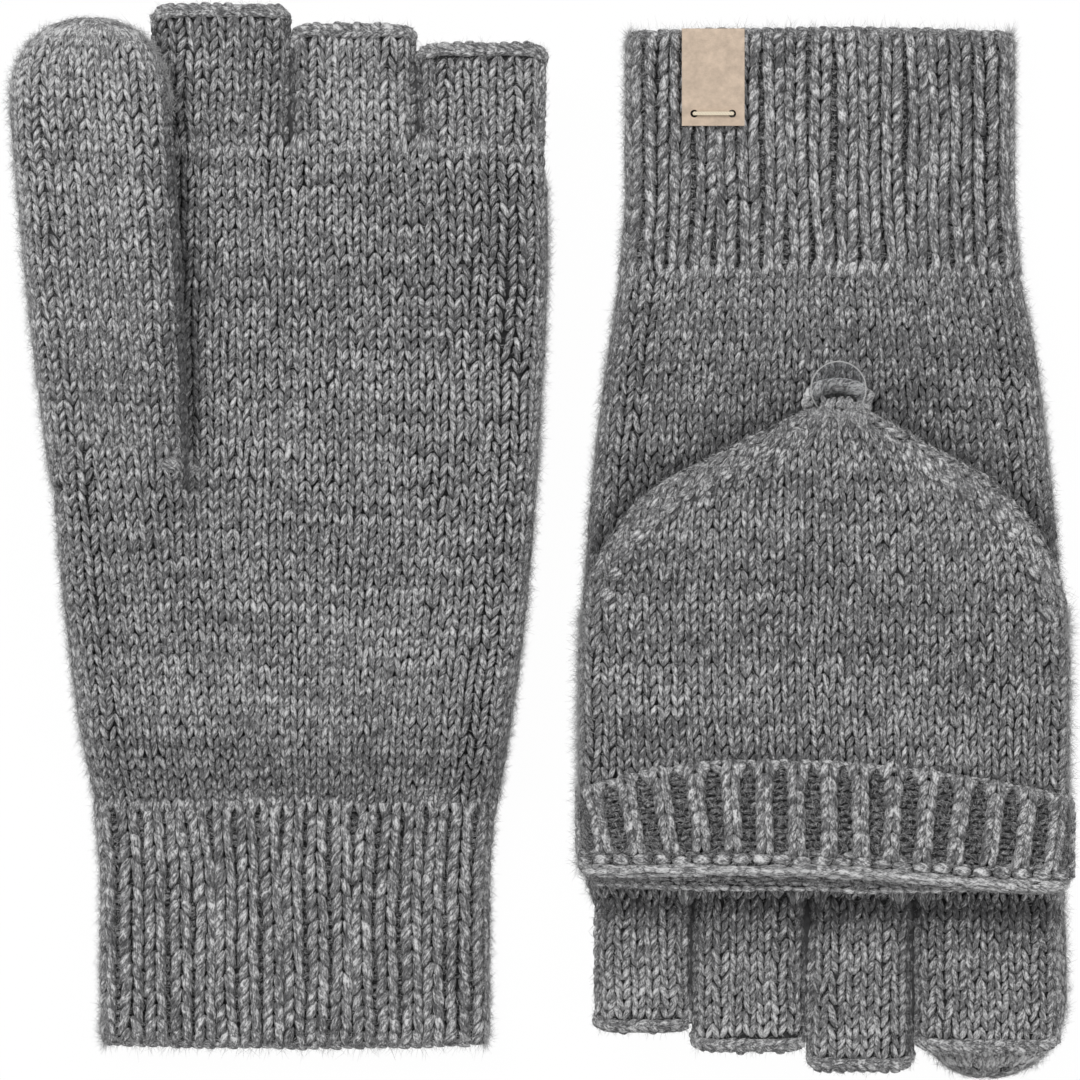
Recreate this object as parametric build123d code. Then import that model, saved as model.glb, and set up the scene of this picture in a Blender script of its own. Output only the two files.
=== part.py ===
from build123d import *
from math import cos, pi, sqrt
import os

# A pair of knitted convertible mittens, laid flat side by side, in millimetres.
# One mitten is built in its own pose: fingers to +Y, thumb side at -X, palm down and back of the hand up.
# Y = 0 is the knuckle line, where the flip-over hood is joined to the back of the hand.

# The cloth
CLOTH = 1.8  # thickness of the knitted cloth
REST_GAP = 0.3  # air between cloths that lie on each other
FINGER_GAP = 0.4  # air between neighbouring finger tubes

# The hand tube
HAND_LENGTH = 142.0  # knuckle line to the start of the cuff
HAND_WIDTH = 112.0  # at its widest
HAND_WIDEST_AT = 30.0  # distance of the widest place behind the knuckle line
HAND_DEPTH = 10.0
WRIST_WIDTH = 92.0
CROTCH = 3.5  # finger roots, in front of the knuckle line
DROOP_LENGTH = 20.0  # stretch over which the wrist comes down to the surface

# The ribbed cuff
CUFF_LENGTH = 55.0
CUFF_WIDTH = 90.4  # over the ribs
CUFF_RIBS = 34  # all round
CUFF_RIB_HEIGHT = 0.5
CUFF_RIB_RADIUS = 2.0
CUFF_FLAT = 0.2  # depth to which the ribs lie flat on the surface

# The half fingers, each with a bound-off rim at its open end
RIM_LENGTH = 3.8
RIM_HEIGHT = 0.5
INDEX_FINGER_LENGTH = 38.5  # from the knuckle line to the open end
MIDDLE_FINGER_LENGTH = 42.8
RING_FINGER_LENGTH = 38.3
LITTLE_FINGER_LENGTH = 34.0

# The thumb tube, under the palm
THUMB_DEPTH = 8.2
THUMB_WIDTH = 36.4  # at its widest
THUMB_ROOT_WIDTH = 31.0
THUMB_CROTCH = 63.0  # behind the knuckle line
THUMB_GUSSET = 33.0  # stretch over which the thumb grows out of the palm
THUMB_ROUND = 17.0  # length of the rounded, gathered tip
THUMB_SQUASH = 7.0  # length over which the tip thins down
THUMB_FULL_AT = 15.0  # in front of the knuckle line, where the thumb has its full width
THUMB_OPENING = 7.0  # stretch over which the thumb's upper side opens into the palm
THUMB_BELOW_BACK = 4.0  # from the gusset's inner limit to the back of the hand

# The flip-over hood
HOOD_WIDTH = HAND_WIDTH
HOOD_DEPTH = 8.2
HOOD_TO_CUFF = 29.0  # from the hood's tip to the start of the cuff
HOOD_SLOPE_HEIGHT = 29.2  # along the hood, from the end of its straight sides to its tip
HOOD_SHOULDER_RADIUS = 43.0
HOOD_TIP_RADIUS = 20.0
HOOD_TIP_SHIFT = -3.3  # the tip lies a little towards the thumb side
HOOD_EDGE_RADIUS = 3.8  # rounding of the pocket's outer edge
HOOD_MOUTH = 4.0  # mouth of the pocket, behind the knuckle line
SEAM_INSET = 6.0  # from the hood's side to the end of the joined stretch

# The turned-up ribbed band at the hood's mouth
BAND_DEPTH = 1.8
BAND_SHEET = 0.8  # ground cloth between the ribs
BAND_HEIGHT = 24.6  # along the hood, at the middle
BAND_SIDE_HEIGHT = 18.0  # along the hood, at the sides
BAND_RIBS = 15
BAND_RIB_WIDTH = 3.4
BAND_RIB_LEAN = 0.12  # share by which the ribs close up towards the mouth
BAND_RIDGE = 3.0  # width of the purled ridge along the fold
BAND_TAPER = 20.0  # degrees by which the sides of ribs and ridge slope

# The button, its thread and its loop
BUTTON_TO_TIP = 1.0  # from the button's middle back to the hood's tip
BUTTON_RADIUS = 6.5
BUTTON_THICKNESS = 2.4
BUTTON_DISH_RADIUS = 4.6
BUTTON_DISH_DEPTH = 0.6
BUTTON_ROUNDING = 0.5
BUTTON_HOLE_RADIUS = 0.85
BUTTON_HOLE_SPACING = 3.0
THREAD_RADIUS = 0.5
SHANK_RADIUS = 1.5
LOOP_CORD_RADIUS = 1.15
LOOP_RADIUS = 6.7  # centre line of the loop
LOOP_TO_BUTTON = 2.95  # from the middle of the loop's bend to the button's middle
LOOP_ROOT_DEPTH = 5.0  # length of the loop's legs before they meet the hood
NOTCH_GAP = 0.6  # air between the button's edge and the hood's tip

# The folded label on the cuff
LABEL_WIDTH = 14.5
LABEL_LENGTH = 21.6
LABEL_THICKNESS = 0.9
LABEL_INNER_LENGTH = 12.0
LABEL_GAP = 0.1  # air between the label and the cuff's edge and lining side
LABEL_CENTRE = 25.0  # from the middle of the cuff, towards the little finger
LABEL_HOLE_RADIUS = 0.9
LABEL_HOLE_SPACING = 8.8
LABEL_HOLE_INSET = 2.8  # from the label's lower edge
LABEL_THREAD_RADIUS = 0.4

# How the two mittens lie. Finger edges are listed from the index finger's outer side to the little finger's.
THUMB_LEAN = {"left": 4.5, "right": -0.5}  # degrees outwards
THUMB_SHIFT = {"left": -39.5, "right": -37.5}  # middle of the thumb's root
THUMB_TIP = {"left": 41.5, "right": 45.2}  # from the knuckle line
FINGER_EDGES = {
    "left": (-54.9, -31.0, -0.7, 28.5, 54.9),
    "right": (-54.9, -21.2, 3.5, 30.1, 52.7),
}
PAIR_SPACING = 122.2  # between the middles of the two mittens
PAIR_STAGGER = 159.6  # between the two knuckle lines, which face opposite ways

# Places along the mitten, behind the knuckle line
HOOD_APEX = HAND_LENGTH - HOOD_TO_CUFF  # where the two slopes of the tip would meet
HOOD_SHOULDER = HOOD_APEX - HOOD_SLOPE_HEIGHT  # where the side and the slope would meet
BUTTON_AT = HOOD_APEX + BUTTON_TO_TIP
LOOP_AT = BUTTON_AT - LOOP_TO_BUTTON

# Levels of the stacked layers, from the surface up
HAND_BOTTOM = THUMB_DEPTH + REST_GAP
HAND_TOP = HAND_BOTTOM + HAND_DEPTH
HOOD_BOTTOM = HAND_TOP + REST_GAP
HOOD_TOP = HOOD_BOTTOM + HOOD_DEPTH
STACK = HOOD_TOP + BAND_DEPTH
HAND_MIDDLE = HAND_BOTTOM + HAND_DEPTH / 2
HOOD_MIDDLE = HOOD_BOTTOM + HOOD_DEPTH / 2
HINGE_LEVEL = HOOD_BOTTOM + CLOTH / 2
LOOP_LEVEL = HAND_TOP + REST_GAP + LOOP_CORD_RADIUS
BUTTON_BOTTOM = LOOP_LEVEL + LOOP_CORD_RADIUS + REST_GAP
BUTTON_TOP = BUTTON_BOTTOM + BUTTON_THICKNESS
CUFF_SHIFT = {"left": STACK - HAND_TOP, "right": -HAND_BOTTOM}  # how far the cuff lies off the hand's level
CUFF_TOP = HAND_DEPTH - 2 * CUFF_FLAT
CUFF_START = -HAND_LENGTH
CUFF_END = -HAND_LENGTH - CUFF_LENGTH


def flat_oval(width, depth, x, y, z):
    """Cross-section of a tube of cloth lying flat: a slot standing across the length of the mitten."""
    across = Plane(origin=(x, y, z), x_dir=(1, 0, 0), z_dir=(0, -1, 0))
    return across * SlotOverall(width, depth)


def hand_half_width(y):
    """Half the width of the hand tube: a parabola from its widest place to the wrist."""
    reach = (y + HAND_WIDEST_AT) / (HAND_LENGTH - HAND_WIDEST_AT)
    return HAND_WIDTH / 2 - (HAND_WIDTH - WRIST_WIDTH) / 2 * reach**2


def hand_solid(side, inset):
    """The hand tube's outside, or its inside with an inset: a level stretch, and the wrist that comes down."""
    droop_start = CUFF_START + DROOP_LENGTH
    level = [CROTCH + (droop_start - CROTCH) * step / 5 for step in range(6)]
    droop = [droop_start - DROOP_LENGTH * step / 5 for step in range(6)]

    def section(y):
        eased = (1 - cos(pi * max(0.0, (droop_start - y) / DROOP_LENGTH))) / 2
        middle = HAND_MIDDLE + CUFF_SHIFT[side] * eased
        return flat_oval(2 * (hand_half_width(y) - inset), HAND_DEPTH - 2 * inset, 0, y, middle)

    return loft([section(y) for y in level]) + loft([section(y) for y in droop])


def thumb_solid(side, inset):
    """The thumb's outside, or its inside with an inset: a rounded tip, a flat tube and a gusset out of the palm."""
    tip = THUMB_TIP[side]
    root = -THUMB_CROTCH
    lean = THUMB_LEAN[side] * pi / 180

    def section(y, width, low, high):
        middle = THUMB_SHIFT[side] - (y - root) * lean
        return flat_oval(width - 2 * inset, high - low - 2 * inset, middle, y, (low + high) / 2)

    def swelling(y):
        """Width of the tube: full near the tip, narrower at the root."""
        share = (y - root) / (THUMB_FULL_AT - root)
        return THUMB_WIDTH - (THUMB_WIDTH - THUMB_ROOT_WIDTH) * max(0.0, 1 - share) ** 2

    def rounded(y):
        past = max(0.0, 1 - (tip - y) / THUMB_ROUND)
        thin = max(0.0, 1 - (tip - y) / THUMB_SQUASH)
        half_depth = THUMB_DEPTH / 2 * sqrt(1 - thin**2)
        return section(y, swelling(y) * sqrt(1 - past**2), THUMB_DEPTH / 2 - half_depth, THUMB_DEPTH / 2 + half_depth)

    free_end = root + THUMB_OPENING
    shoulder = tip - THUMB_ROUND - inset
    tip_steps = [tip - inset - THUMB_ROUND * share for share in (0.05, 0.14, 0.3, 0.55)]
    tube_steps = [shoulder + (free_end - shoulder) * share / 4 for share in range(5)]
    tube = [rounded(y) for y in tip_steps + tube_steps]
    gusset = [
        tube[-1],
        section(root, THUMB_ROOT_WIDTH, 0, HAND_TOP - THUMB_BELOW_BACK),
        section(root - THUMB_GUSSET * 0.55, THUMB_ROOT_WIDTH, THUMB_DEPTH / 2, HAND_TOP - THUMB_BELOW_BACK),
        section(root - THUMB_GUSSET, THUMB_ROOT_WIDTH * 0.8, HAND_BOTTOM + REST_GAP, HAND_TOP - THUMB_BELOW_BACK),
    ]
    return loft(tube, ruled=True) + loft(gusset, ruled=True)


def hand_and_thumb(side):
    """Two tubes joined at the palm: the thumb's hollow opens into the hand's."""
    hand_outside = hand_solid(side, 0)
    thumb_outside = thumb_solid(side, 0)
    thumb_inside = thumb_solid(side, CLOTH)
    hand = hand_outside - hand_solid(side, CLOTH) - thumb_inside
    thumb = thumb_outside - thumb_inside - hand_outside
    return hand, largest(thumb)


def largest(shape):
    """The biggest solid of a shape, without slivers that a cut has left."""
    return shape.solids().sort_by(lambda solid: solid.volume)[-1]


def wrist_cuff(side):
    """Ribbed tube: ribs all round a flat oval, flattened where the cuff lies on the surface."""
    depth = HAND_DEPTH - 2 * CUFF_RIB_HEIGHT
    width = CUFF_WIDTH - 2 * CUFF_RIB_HEIGHT
    inset = CUFF_RIB_RADIUS - CUFF_RIB_HEIGHT
    section = SlotOverall(width, depth)
    path = SlotOverall(width - 2 * inset, depth - 2 * inset).wire()
    for rib in range(CUFF_RIBS):
        centre = path.position_at(rib / CUFF_RIBS)
        section += Pos(centre.X, centre.Y) * Circle(CUFF_RIB_RADIUS)
    section -= SlotOverall(width - 2 * CLOTH, depth - 2 * CLOTH)
    section &= Rectangle(2 * CUFF_WIDTH, CUFF_TOP)
    level = CUFF_TOP / 2 if side == "right" else STACK - CUFF_TOP / 2
    across = Plane(origin=(0, CUFF_START, level), x_dir=(1, 0, 0), z_dir=(0, -1, 0))
    return extrude(across * section, CUFF_LENGTH)


def half_finger(side, number, end):
    """Open finger tube that starts at the hand's edge and ends in a thicker, bound-off rim."""
    low = FINGER_EDGES[side][number]
    high = FINGER_EDGES[side][number + 1]
    width = high - low - FINGER_GAP
    middle = (low + high) / 2
    tube_width = width - 2 * RIM_HEIGHT
    tube_depth = HAND_DEPTH - 2 * RIM_HEIGHT

    def stretch(stretch_width, depth, start, stop):
        return extrude(flat_oval(stretch_width, depth, middle, stop, HAND_MIDDLE), stop - start)

    tube = stretch(tube_width, tube_depth, CROTCH, end)
    rim = stretch(width, HAND_DEPTH, end - RIM_LENGTH, end)
    rim = fillet(rim.edges().group_by(Axis.Y)[0] + rim.edges().group_by(Axis.Y)[-1], RIM_HEIGHT * 0.8)
    return tube + rim - stretch(tube_width - 2 * CLOTH, tube_depth - 2 * CLOTH, CROTCH, end)


def hood_outline():
    """Outline of the hood in plan: straight sides, wide rounded shoulders and a blunt tip."""
    half = HOOD_WIDTH / 2
    corners = [(half, HOOD_WIDTH / 4), (half, -HOOD_SHOULDER), (HOOD_TIP_SHIFT, -HOOD_APEX)]
    corners += [(-half, -HOOD_SHOULDER), (-half, HOOD_WIDTH / 4)]
    face = make_face(Polyline(*corners, close=True))
    rows = face.vertices().group_by(Axis.Y)
    face = fillet(rows[1], HOOD_SHOULDER_RADIUS)
    return fillet(face.vertices().group_by(Axis.Y)[0], HOOD_TIP_RADIUS)


def pillow(outline, low, high, rounding):
    """An outline raised between two levels, with its upper and lower edges rounded."""
    block = Pos(0, 0, low) * extrude(outline, high - low)
    faces = block.faces().sort_by(Axis.Z)
    return fillet(faces[0].edges() + faces[-1].edges(), rounding)


def button_place(level):
    return Pos(HOOD_TIP_SHIFT, -BUTTON_AT, level)


def upward(radius, low, high):
    """A cylinder between two levels."""
    return Pos(0, 0, (low + high) / 2) * Cylinder(radius, high - low)


def hood_panels():
    """The hood as a pocket of two layers, split at its middle level, with room for the button at the tip."""
    outline = hood_outline()
    inner_rounding = HOOD_EDGE_RADIUS - CLOTH
    outside = pillow(outline, HOOD_BOTTOM, HOOD_TOP, HOOD_EDGE_RADIUS)
    inside = pillow(offset(outline, -CLOTH), HOOD_BOTTOM + CLOTH, HOOD_TOP - CLOTH, inner_rounding)
    room = button_place(0) * upward(BUTTON_RADIUS + NOTCH_GAP, BUTTON_BOTTOM - REST_GAP, BUTTON_TOP + REST_GAP)
    reach = HOOD_APEX + HOOD_WIDTH
    behind_mouth = Pos(0, -HOOD_MOUTH - reach / 2, HOOD_MIDDLE)
    pocket = (outside - inside - room) & behind_mouth * Box(2 * HOOD_WIDTH, reach, 2 * HOOD_DEPTH)
    lower_half = Pos(0, 0, HOOD_MIDDLE - HOOD_DEPTH / 2) * Box(2 * HOOD_WIDTH, 2 * reach, HOOD_DEPTH)
    upper_half = Pos(0, 0, HOOD_MIDDLE + HOOD_DEPTH / 2) * Box(2 * HOOD_WIDTH, 2 * reach, HOOD_DEPTH)
    strip = Pos(0, -HOOD_MOUTH / 2, HINGE_LEVEL) * Box(HOOD_WIDTH - 2 * SEAM_INSET, HOOD_MOUTH, CLOTH)
    back = (pocket & lower_half) + strip - hood_seam()
    return back, pocket & upper_half, outside


def hood_seam():
    """Row of joined stitches along the knuckle line: the round edge on which the hood turns."""
    return Pos(0, 0, HINGE_LEVEL) * Rot(0, 90, 0) * Cylinder(CLOTH / 2, HOOD_WIDTH - 2 * SEAM_INSET)


def hood_band():
    """Turned-up band: a ground sheet with a curved upper edge, fanned ribs and a purled ridge at the fold."""
    half = HOOD_WIDTH / 2
    fold = -HOOD_MOUTH
    side_edge = fold - BAND_SIDE_HEIGHT
    middle_edge = fold - BAND_HEIGHT
    sides = Polyline((-half, side_edge), (-half, fold), (half, fold), (half, side_edge))
    edge = ThreePointArc((half, side_edge), (0, middle_edge), (-half, side_edge))
    outline = make_face(Curve() + [sides, edge])
    rise = BAND_DEPTH - BAND_SHEET
    pitch = (HOOD_WIDTH - BAND_RIB_WIDTH) / (BAND_RIBS - 1)
    band = extrude(outline, BAND_SHEET)
    for rib in range(BAND_RIBS):
        upper = (rib - (BAND_RIBS - 1) / 2) * pitch
        lower = upper * (1 - BAND_RIB_LEAN)
        across = BAND_RIB_WIDTH / 2
        corners = [(upper - across, middle_edge), (upper + across, middle_edge)]
        corners += [(lower + across, fold), (lower - across, fold)]
        band += Pos(0, 0, BAND_SHEET) * extrude(make_face(Polyline(*corners, close=True)), rise, taper=BAND_TAPER)
    band &= extrude(outline, BAND_DEPTH)
    ridge = Pos(0, fold - BAND_RIDGE / 2, BAND_SHEET) * Rectangle(HOOD_WIDTH, BAND_RIDGE)
    return Pos(0, 0, HOOD_TOP) * (band + extrude(ridge, rise, taper=BAND_TAPER))


def button():
    """Clear sew-on button: a disc with a rounded edge, a dished face and two holes."""
    disc = fillet(upward(BUTTON_RADIUS, BUTTON_BOTTOM, BUTTON_TOP).edges(), BUTTON_ROUNDING)
    disc -= upward(BUTTON_DISH_RADIUS, BUTTON_TOP - BUTTON_DISH_DEPTH, BUTTON_TOP + BUTTON_DISH_DEPTH)
    for place in thread_places():
        disc -= place * upward(BUTTON_HOLE_RADIUS, BUTTON_BOTTOM - BUTTON_ROUNDING, BUTTON_TOP)
    return button_place(0) * disc


def thread_places():
    half = BUTTON_HOLE_SPACING / 2
    return [Pos(-half, 0), Pos(half, 0)]


def button_thread():
    """Wound shank between cloth and button, with two strands through the holes and one across the top."""
    dish = BUTTON_TOP - BUTTON_DISH_DEPTH
    thread = upward(SHANK_RADIUS, HAND_TOP, BUTTON_BOTTOM)
    for place in thread_places():
        thread += place * upward(THREAD_RADIUS, BUTTON_BOTTOM - 0.2, dish + 2 * THREAD_RADIUS)
    strand = Box(BUTTON_HOLE_SPACING, 2 * THREAD_RADIUS, 2 * THREAD_RADIUS)
    return button_place(0) * (thread + Pos(0, 0, dish + THREAD_RADIUS) * strand)


def button_loop(hood_outside):
    """Cord loop from the hood's tip, round the shank and under the button."""
    centre = -LOOP_AT
    root = centre + LOOP_ROOT_DEPTH
    legs = [Line((LOOP_RADIUS, root), (LOOP_RADIUS, centre)), Line((-LOOP_RADIUS, centre), (-LOOP_RADIUS, root))]
    bend = ThreePointArc((LOOP_RADIUS, centre), (0, centre - LOOP_RADIUS), (-LOOP_RADIUS, centre))
    path = Curve() + [legs[0], bend, legs[1]]
    start = Plane(origin=(LOOP_RADIUS, root, 0), x_dir=(1, 0, 0), z_dir=(0, -1, 0))
    cord = sweep(start * Circle(LOOP_CORD_RADIUS), path=path.wires()[0])
    return Pos(HOOD_TIP_SHIFT, 0, LOOP_LEVEL) * cord - hood_outside


def cuff_label():
    """Leather label folded over the cuff's edge: an outer leaf with two holes, and a shorter inner leaf."""
    outer_high = CUFF_TOP + LABEL_THICKNESS
    inner_high = CUFF_TOP + CUFF_FLAT - CUFF_RIB_HEIGHT - CLOTH - LABEL_GAP
    inner_low = inner_high - LABEL_THICKNESS
    fold = CUFF_END - LABEL_THICKNESS - LABEL_GAP
    lower_edge = CUFF_END + LABEL_LENGTH

    def bar(start, stop, low, high):
        return Pos(LABEL_CENTRE, (start + stop) / 2, (low + high) / 2) * Box(LABEL_WIDTH, stop - start, high - low)

    label = bar(fold, lower_edge, CUFF_TOP, outer_high)
    label += bar(fold, CUFF_END + LABEL_INNER_LENGTH, inner_low, inner_high)
    label += bar(fold, fold + LABEL_THICKNESS, inner_low, outer_high)
    bends = label.edges().filter_by(Axis.X).group_by(Axis.Y)[0]
    label = fillet(bends, LABEL_THICKNESS * 0.8)
    hole_row = lower_edge - LABEL_HOLE_INSET
    places = [Pos(LABEL_CENTRE + side * LABEL_HOLE_SPACING / 2, hole_row) for side in (-1, 1)]
    for place in places:
        label -= place * upward(LABEL_HOLE_RADIUS, CUFF_TOP - LABEL_GAP, outer_high + LABEL_GAP)
    across = Box(LABEL_HOLE_SPACING, 2 * LABEL_THREAD_RADIUS, 2 * LABEL_THREAD_RADIUS)
    thread = Pos(LABEL_CENTRE, hole_row, outer_high + LABEL_THREAD_RADIUS) * across
    for place in places:
        thread += place * upward(LABEL_THREAD_RADIUS, CUFF_TOP, outer_high + 2 * LABEL_THREAD_RADIUS)
    return label, thread


def mitten(side):
    """Every piece of one mitten, palm down, by name."""
    hand, thumb = hand_and_thumb(side)
    back, palm, hood_outside = hood_panels()
    pieces = {"wrist_cuff": wrist_cuff(side), "hand_tube": hand, "thumb_tube": thumb}
    ends = {"index": INDEX_FINGER_LENGTH, "middle": MIDDLE_FINGER_LENGTH}
    ends |= {"ring": RING_FINGER_LENGTH, "little": LITTLE_FINGER_LENGTH}
    for number, (finger, end) in enumerate(ends.items()):
        pieces[f"{finger}_finger"] = half_finger(side, number, end)
    pieces |= {"hood_seam": hood_seam(), "hood_back": back, "hood_palm": palm, "hood_band": hood_band()}
    pieces |= {"button": button(), "button_thread": button_thread(), "button_loop": button_loop(hood_outside)}
    if side == "right":
        pieces["cuff_label"], pieces["label_thread"] = cuff_label()
    return pieces


def laid(side, piece):
    """Turns a piece as its mitten lies: the left one palm up with its fingers up, the right one back up, fingers down."""
    if side == "left":
        return Pos(-PAIR_SPACING / 2, PAIR_STAGGER / 2, STACK) * mirror(piece, Plane.XY)
    return Pos(PAIR_SPACING / 2, -PAIR_STAGGER / 2, 0) * Rot(0, 0, 180) * piece


def main():
    os.makedirs("parts", exist_ok=True)
    pair = {}
    for side in ("left", "right"):
        for name, piece in mitten(side).items():
            pair[f"{side}_{name}"] = laid(side, piece)
    box = Compound(list(pair.values())).bounding_box()
    centred = Pos(-box.center().X, -box.center().Y, 0)
    print("pair", [round(size, 2) for size in box.size], "moved by", round(-box.center().X, 3), round(-box.center().Y, 3))
    for name, piece in pair.items():
        export_step(centred * piece, f"parts/{name}.step")


main()
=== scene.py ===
"""A pair of convertible flip-top mittens, knitted stitch by stitch over the part's frame.

Each mitten is worked out in its own pose, in millimetres: fingers to +Y, thumb side at -X, palm down. Its knuckle
line, where the hood is joined on, is Y = 0. The frame gives the places of all pieces, and lay_down() puts a mitten on
the table. On the surface of each piece u counts columns or ribs across, and v counts rows along.
"""

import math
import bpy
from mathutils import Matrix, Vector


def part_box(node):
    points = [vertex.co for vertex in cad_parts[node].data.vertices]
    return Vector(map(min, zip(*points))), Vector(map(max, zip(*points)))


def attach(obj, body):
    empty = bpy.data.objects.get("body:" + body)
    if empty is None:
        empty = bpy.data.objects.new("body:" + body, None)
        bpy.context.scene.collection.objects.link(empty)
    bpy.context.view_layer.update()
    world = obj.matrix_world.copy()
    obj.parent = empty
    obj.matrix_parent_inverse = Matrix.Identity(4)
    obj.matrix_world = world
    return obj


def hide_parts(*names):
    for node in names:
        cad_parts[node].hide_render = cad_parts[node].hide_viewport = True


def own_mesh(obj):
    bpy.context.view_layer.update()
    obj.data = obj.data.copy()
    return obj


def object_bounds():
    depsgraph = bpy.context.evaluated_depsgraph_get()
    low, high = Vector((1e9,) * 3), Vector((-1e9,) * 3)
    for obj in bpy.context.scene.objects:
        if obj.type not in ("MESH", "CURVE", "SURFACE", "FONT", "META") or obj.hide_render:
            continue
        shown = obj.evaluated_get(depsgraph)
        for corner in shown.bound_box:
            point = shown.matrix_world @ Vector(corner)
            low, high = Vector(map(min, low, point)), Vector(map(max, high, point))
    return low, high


bl_info = {
    "name": "Flip-Top Mittens",
    "version": (1, 0, 0),
    "blender": (4, 5, 0),
    "location": "3D View > Sidebar > Mittens",
    "description": "Knits a pair of flip-top mittens stitch by stitch, with buttons, loops and a leather label",
    "category": "Add Mesh",
}

import bpy
import numpy as np
from bpy.props import FloatProperty, FloatVectorProperty, IntProperty, PointerProperty
from bpy.types import Operator, Panel, PropertyGroup
from mathutils import Vector

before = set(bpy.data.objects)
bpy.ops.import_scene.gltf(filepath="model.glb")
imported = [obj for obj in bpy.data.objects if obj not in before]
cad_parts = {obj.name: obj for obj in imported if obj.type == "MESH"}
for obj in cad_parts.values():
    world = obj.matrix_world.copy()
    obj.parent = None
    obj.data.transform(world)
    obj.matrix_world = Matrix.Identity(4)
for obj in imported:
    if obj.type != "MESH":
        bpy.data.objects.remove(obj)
CAD_BOX = [list(corner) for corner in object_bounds()]
MM = 0.001
SIDES = ("left", "right")
FINGERS = ("index", "middle", "ring", "little")
STACK = CAD_BOX[1][2] / MM


# ---------------------------------------------------------------- places, from the frame


def mitten_origin(side):
    """Middle of the knuckle line on the table, in millimetres."""
    low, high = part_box(f"{side}_hood_seam")
    return (low[0] + high[0]) / 2 / MM, (low[1] + high[1]) / 2 / MM


ORIGIN = {side: mitten_origin(side) for side in SIDES}


def lay_down(side, points):
    """Points of a mitten in its own pose, in millimetres, to the table, in metres. The left one lies palm up."""
    x, y = ORIGIN[side]
    if side == "left":
        laid = points * np.array((1, 1, -1)) + np.array((x, y, STACK))
    else:
        laid = points * np.array((-1, -1, 1)) + np.array((x, y, 0))
    return laid * MM


def own_box(side, piece):
    """A CAD piece's box in its mitten's own pose: lowest and highest corner, in millimetres."""
    x, y = ORIGIN[side]
    corners = np.array([list(corner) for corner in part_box(f"{side}_{piece}")]) / MM
    if side == "left":
        corners = (corners - np.array((x, y, STACK))) * np.array((1, 1, -1))
    else:
        corners = (corners - np.array((x, y, 0))) * np.array((-1, -1, 1))
    return corners.min(axis=0), corners.max(axis=0)


def body_of(side, part="mitten"):
    return f"{side}_{part}"


# ---------------------------------------------------------------- settings


class KnitSettings(PropertyGroup):
    """Gauge and yarn of the knitting."""

    columns: IntProperty(name="Columns", description="Stitches across one side of the hand", default=35, min=10)
    column_pitch: FloatProperty(name="Stitch width", description="Width of one stitch in millimetres", default=3.34)
    row_pitch: FloatProperty(name="Row height", description="Height of one row in millimetres", default=2.36)
    yarn: FloatProperty(
        name="Yarn width", description="Half the visible width of one leg of a stitch in millimetres", default=0.76
    )
    depth: FloatProperty(
        name="Yarn depth", description="Half the depth of one leg of a stitch in millimetres", default=0.80
    )
    rise: FloatProperty(
        name="Rise", description="How far the middle of a leg stands over the cloth's level", default=0.26
    )
    sink: FloatProperty(name="Sink", description="How far the ends of a leg go down into the cloth", default=0.85)
    inset: FloatProperty(
        name="Inset", description="Cloth's level under the outside of the mitten in millimetres", default=0.9
    )
    unevenness: FloatProperty(name="Unevenness", description="Share by which stitches differ", default=1.0)
    seed: IntProperty(name="Seed", description="Number that fixes the unevenness", default=7)


class WoolSettings(PropertyGroup):
    """Colours of the wool."""

    dark: FloatVectorProperty(
        name="Dark fibres", description="Dark fibres of the yarn",
        subtype="COLOR", size=3, default=(0.055, 0.055, 0.057),
    )
    middle: FloatVectorProperty(
        name="Grey fibres", description="Main fibres of the yarn",
        subtype="COLOR", size=3, default=(0.20, 0.20, 0.203),
    )
    light: FloatVectorProperty(
        name="Light fibres", description="Light fibres of the yarn",
        subtype="COLOR", size=3, default=(0.62, 0.62, 0.622),
    )
    twist: FloatProperty(
        name="Twist", description="Turns of the plies round the yarn along one stitch", default=0.28
    )
    # Painted shade: the ground cloth under the stitches is near black, standing for the shade deep between them.
    ground: FloatVectorProperty(
        name="Shaded yarn", description="Yarn deep between the stitches",
        subtype="COLOR", size=3, default=(0.045, 0.045, 0.046),
    )


class StageSettings(PropertyGroup):
    """Camera and light."""

    lens: FloatProperty(name="Lens", description="Focal length of the camera in millimetres", default=180.0)
    view_width: FloatProperty(
        name="View width", description="Width of the picture on the table in millimetres", default=248.4
    )
    key: FloatProperty(name="Key light", description="Strength of the big soft light in watts", default=14.5)
    fill: FloatProperty(name="Fill light", description="Strength of the light from all round", default=0.58)


class TrimSettings(PropertyGroup):
    """Colours of the button and the label."""

    plastic: FloatVectorProperty(
        name="Button", description="Tint of the clear button",
        subtype="COLOR", size=3, default=(0.93, 0.94, 0.95),
    )
    leather: FloatVectorProperty(
        name="Leather", description="Leather of the label",
        subtype="COLOR", size=3, default=(0.50, 0.395, 0.305),
    )
    label_thread: FloatVectorProperty(
        name="Label thread", description="Thread of the label",
        subtype="COLOR", size=3, default=(0.72, 0.63, 0.48),
    )


class MittenSettings(PropertyGroup):
    """All settings of the mittens."""

    knit: PointerProperty(type=KnitSettings)
    wool: PointerProperty(type=WoolSettings)
    trims: PointerProperty(type=TrimSettings)
    stage: PointerProperty(type=StageSettings)


# ---------------------------------------------------------------- numbers that vary softly


FULL_TURN = 6.3


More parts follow.
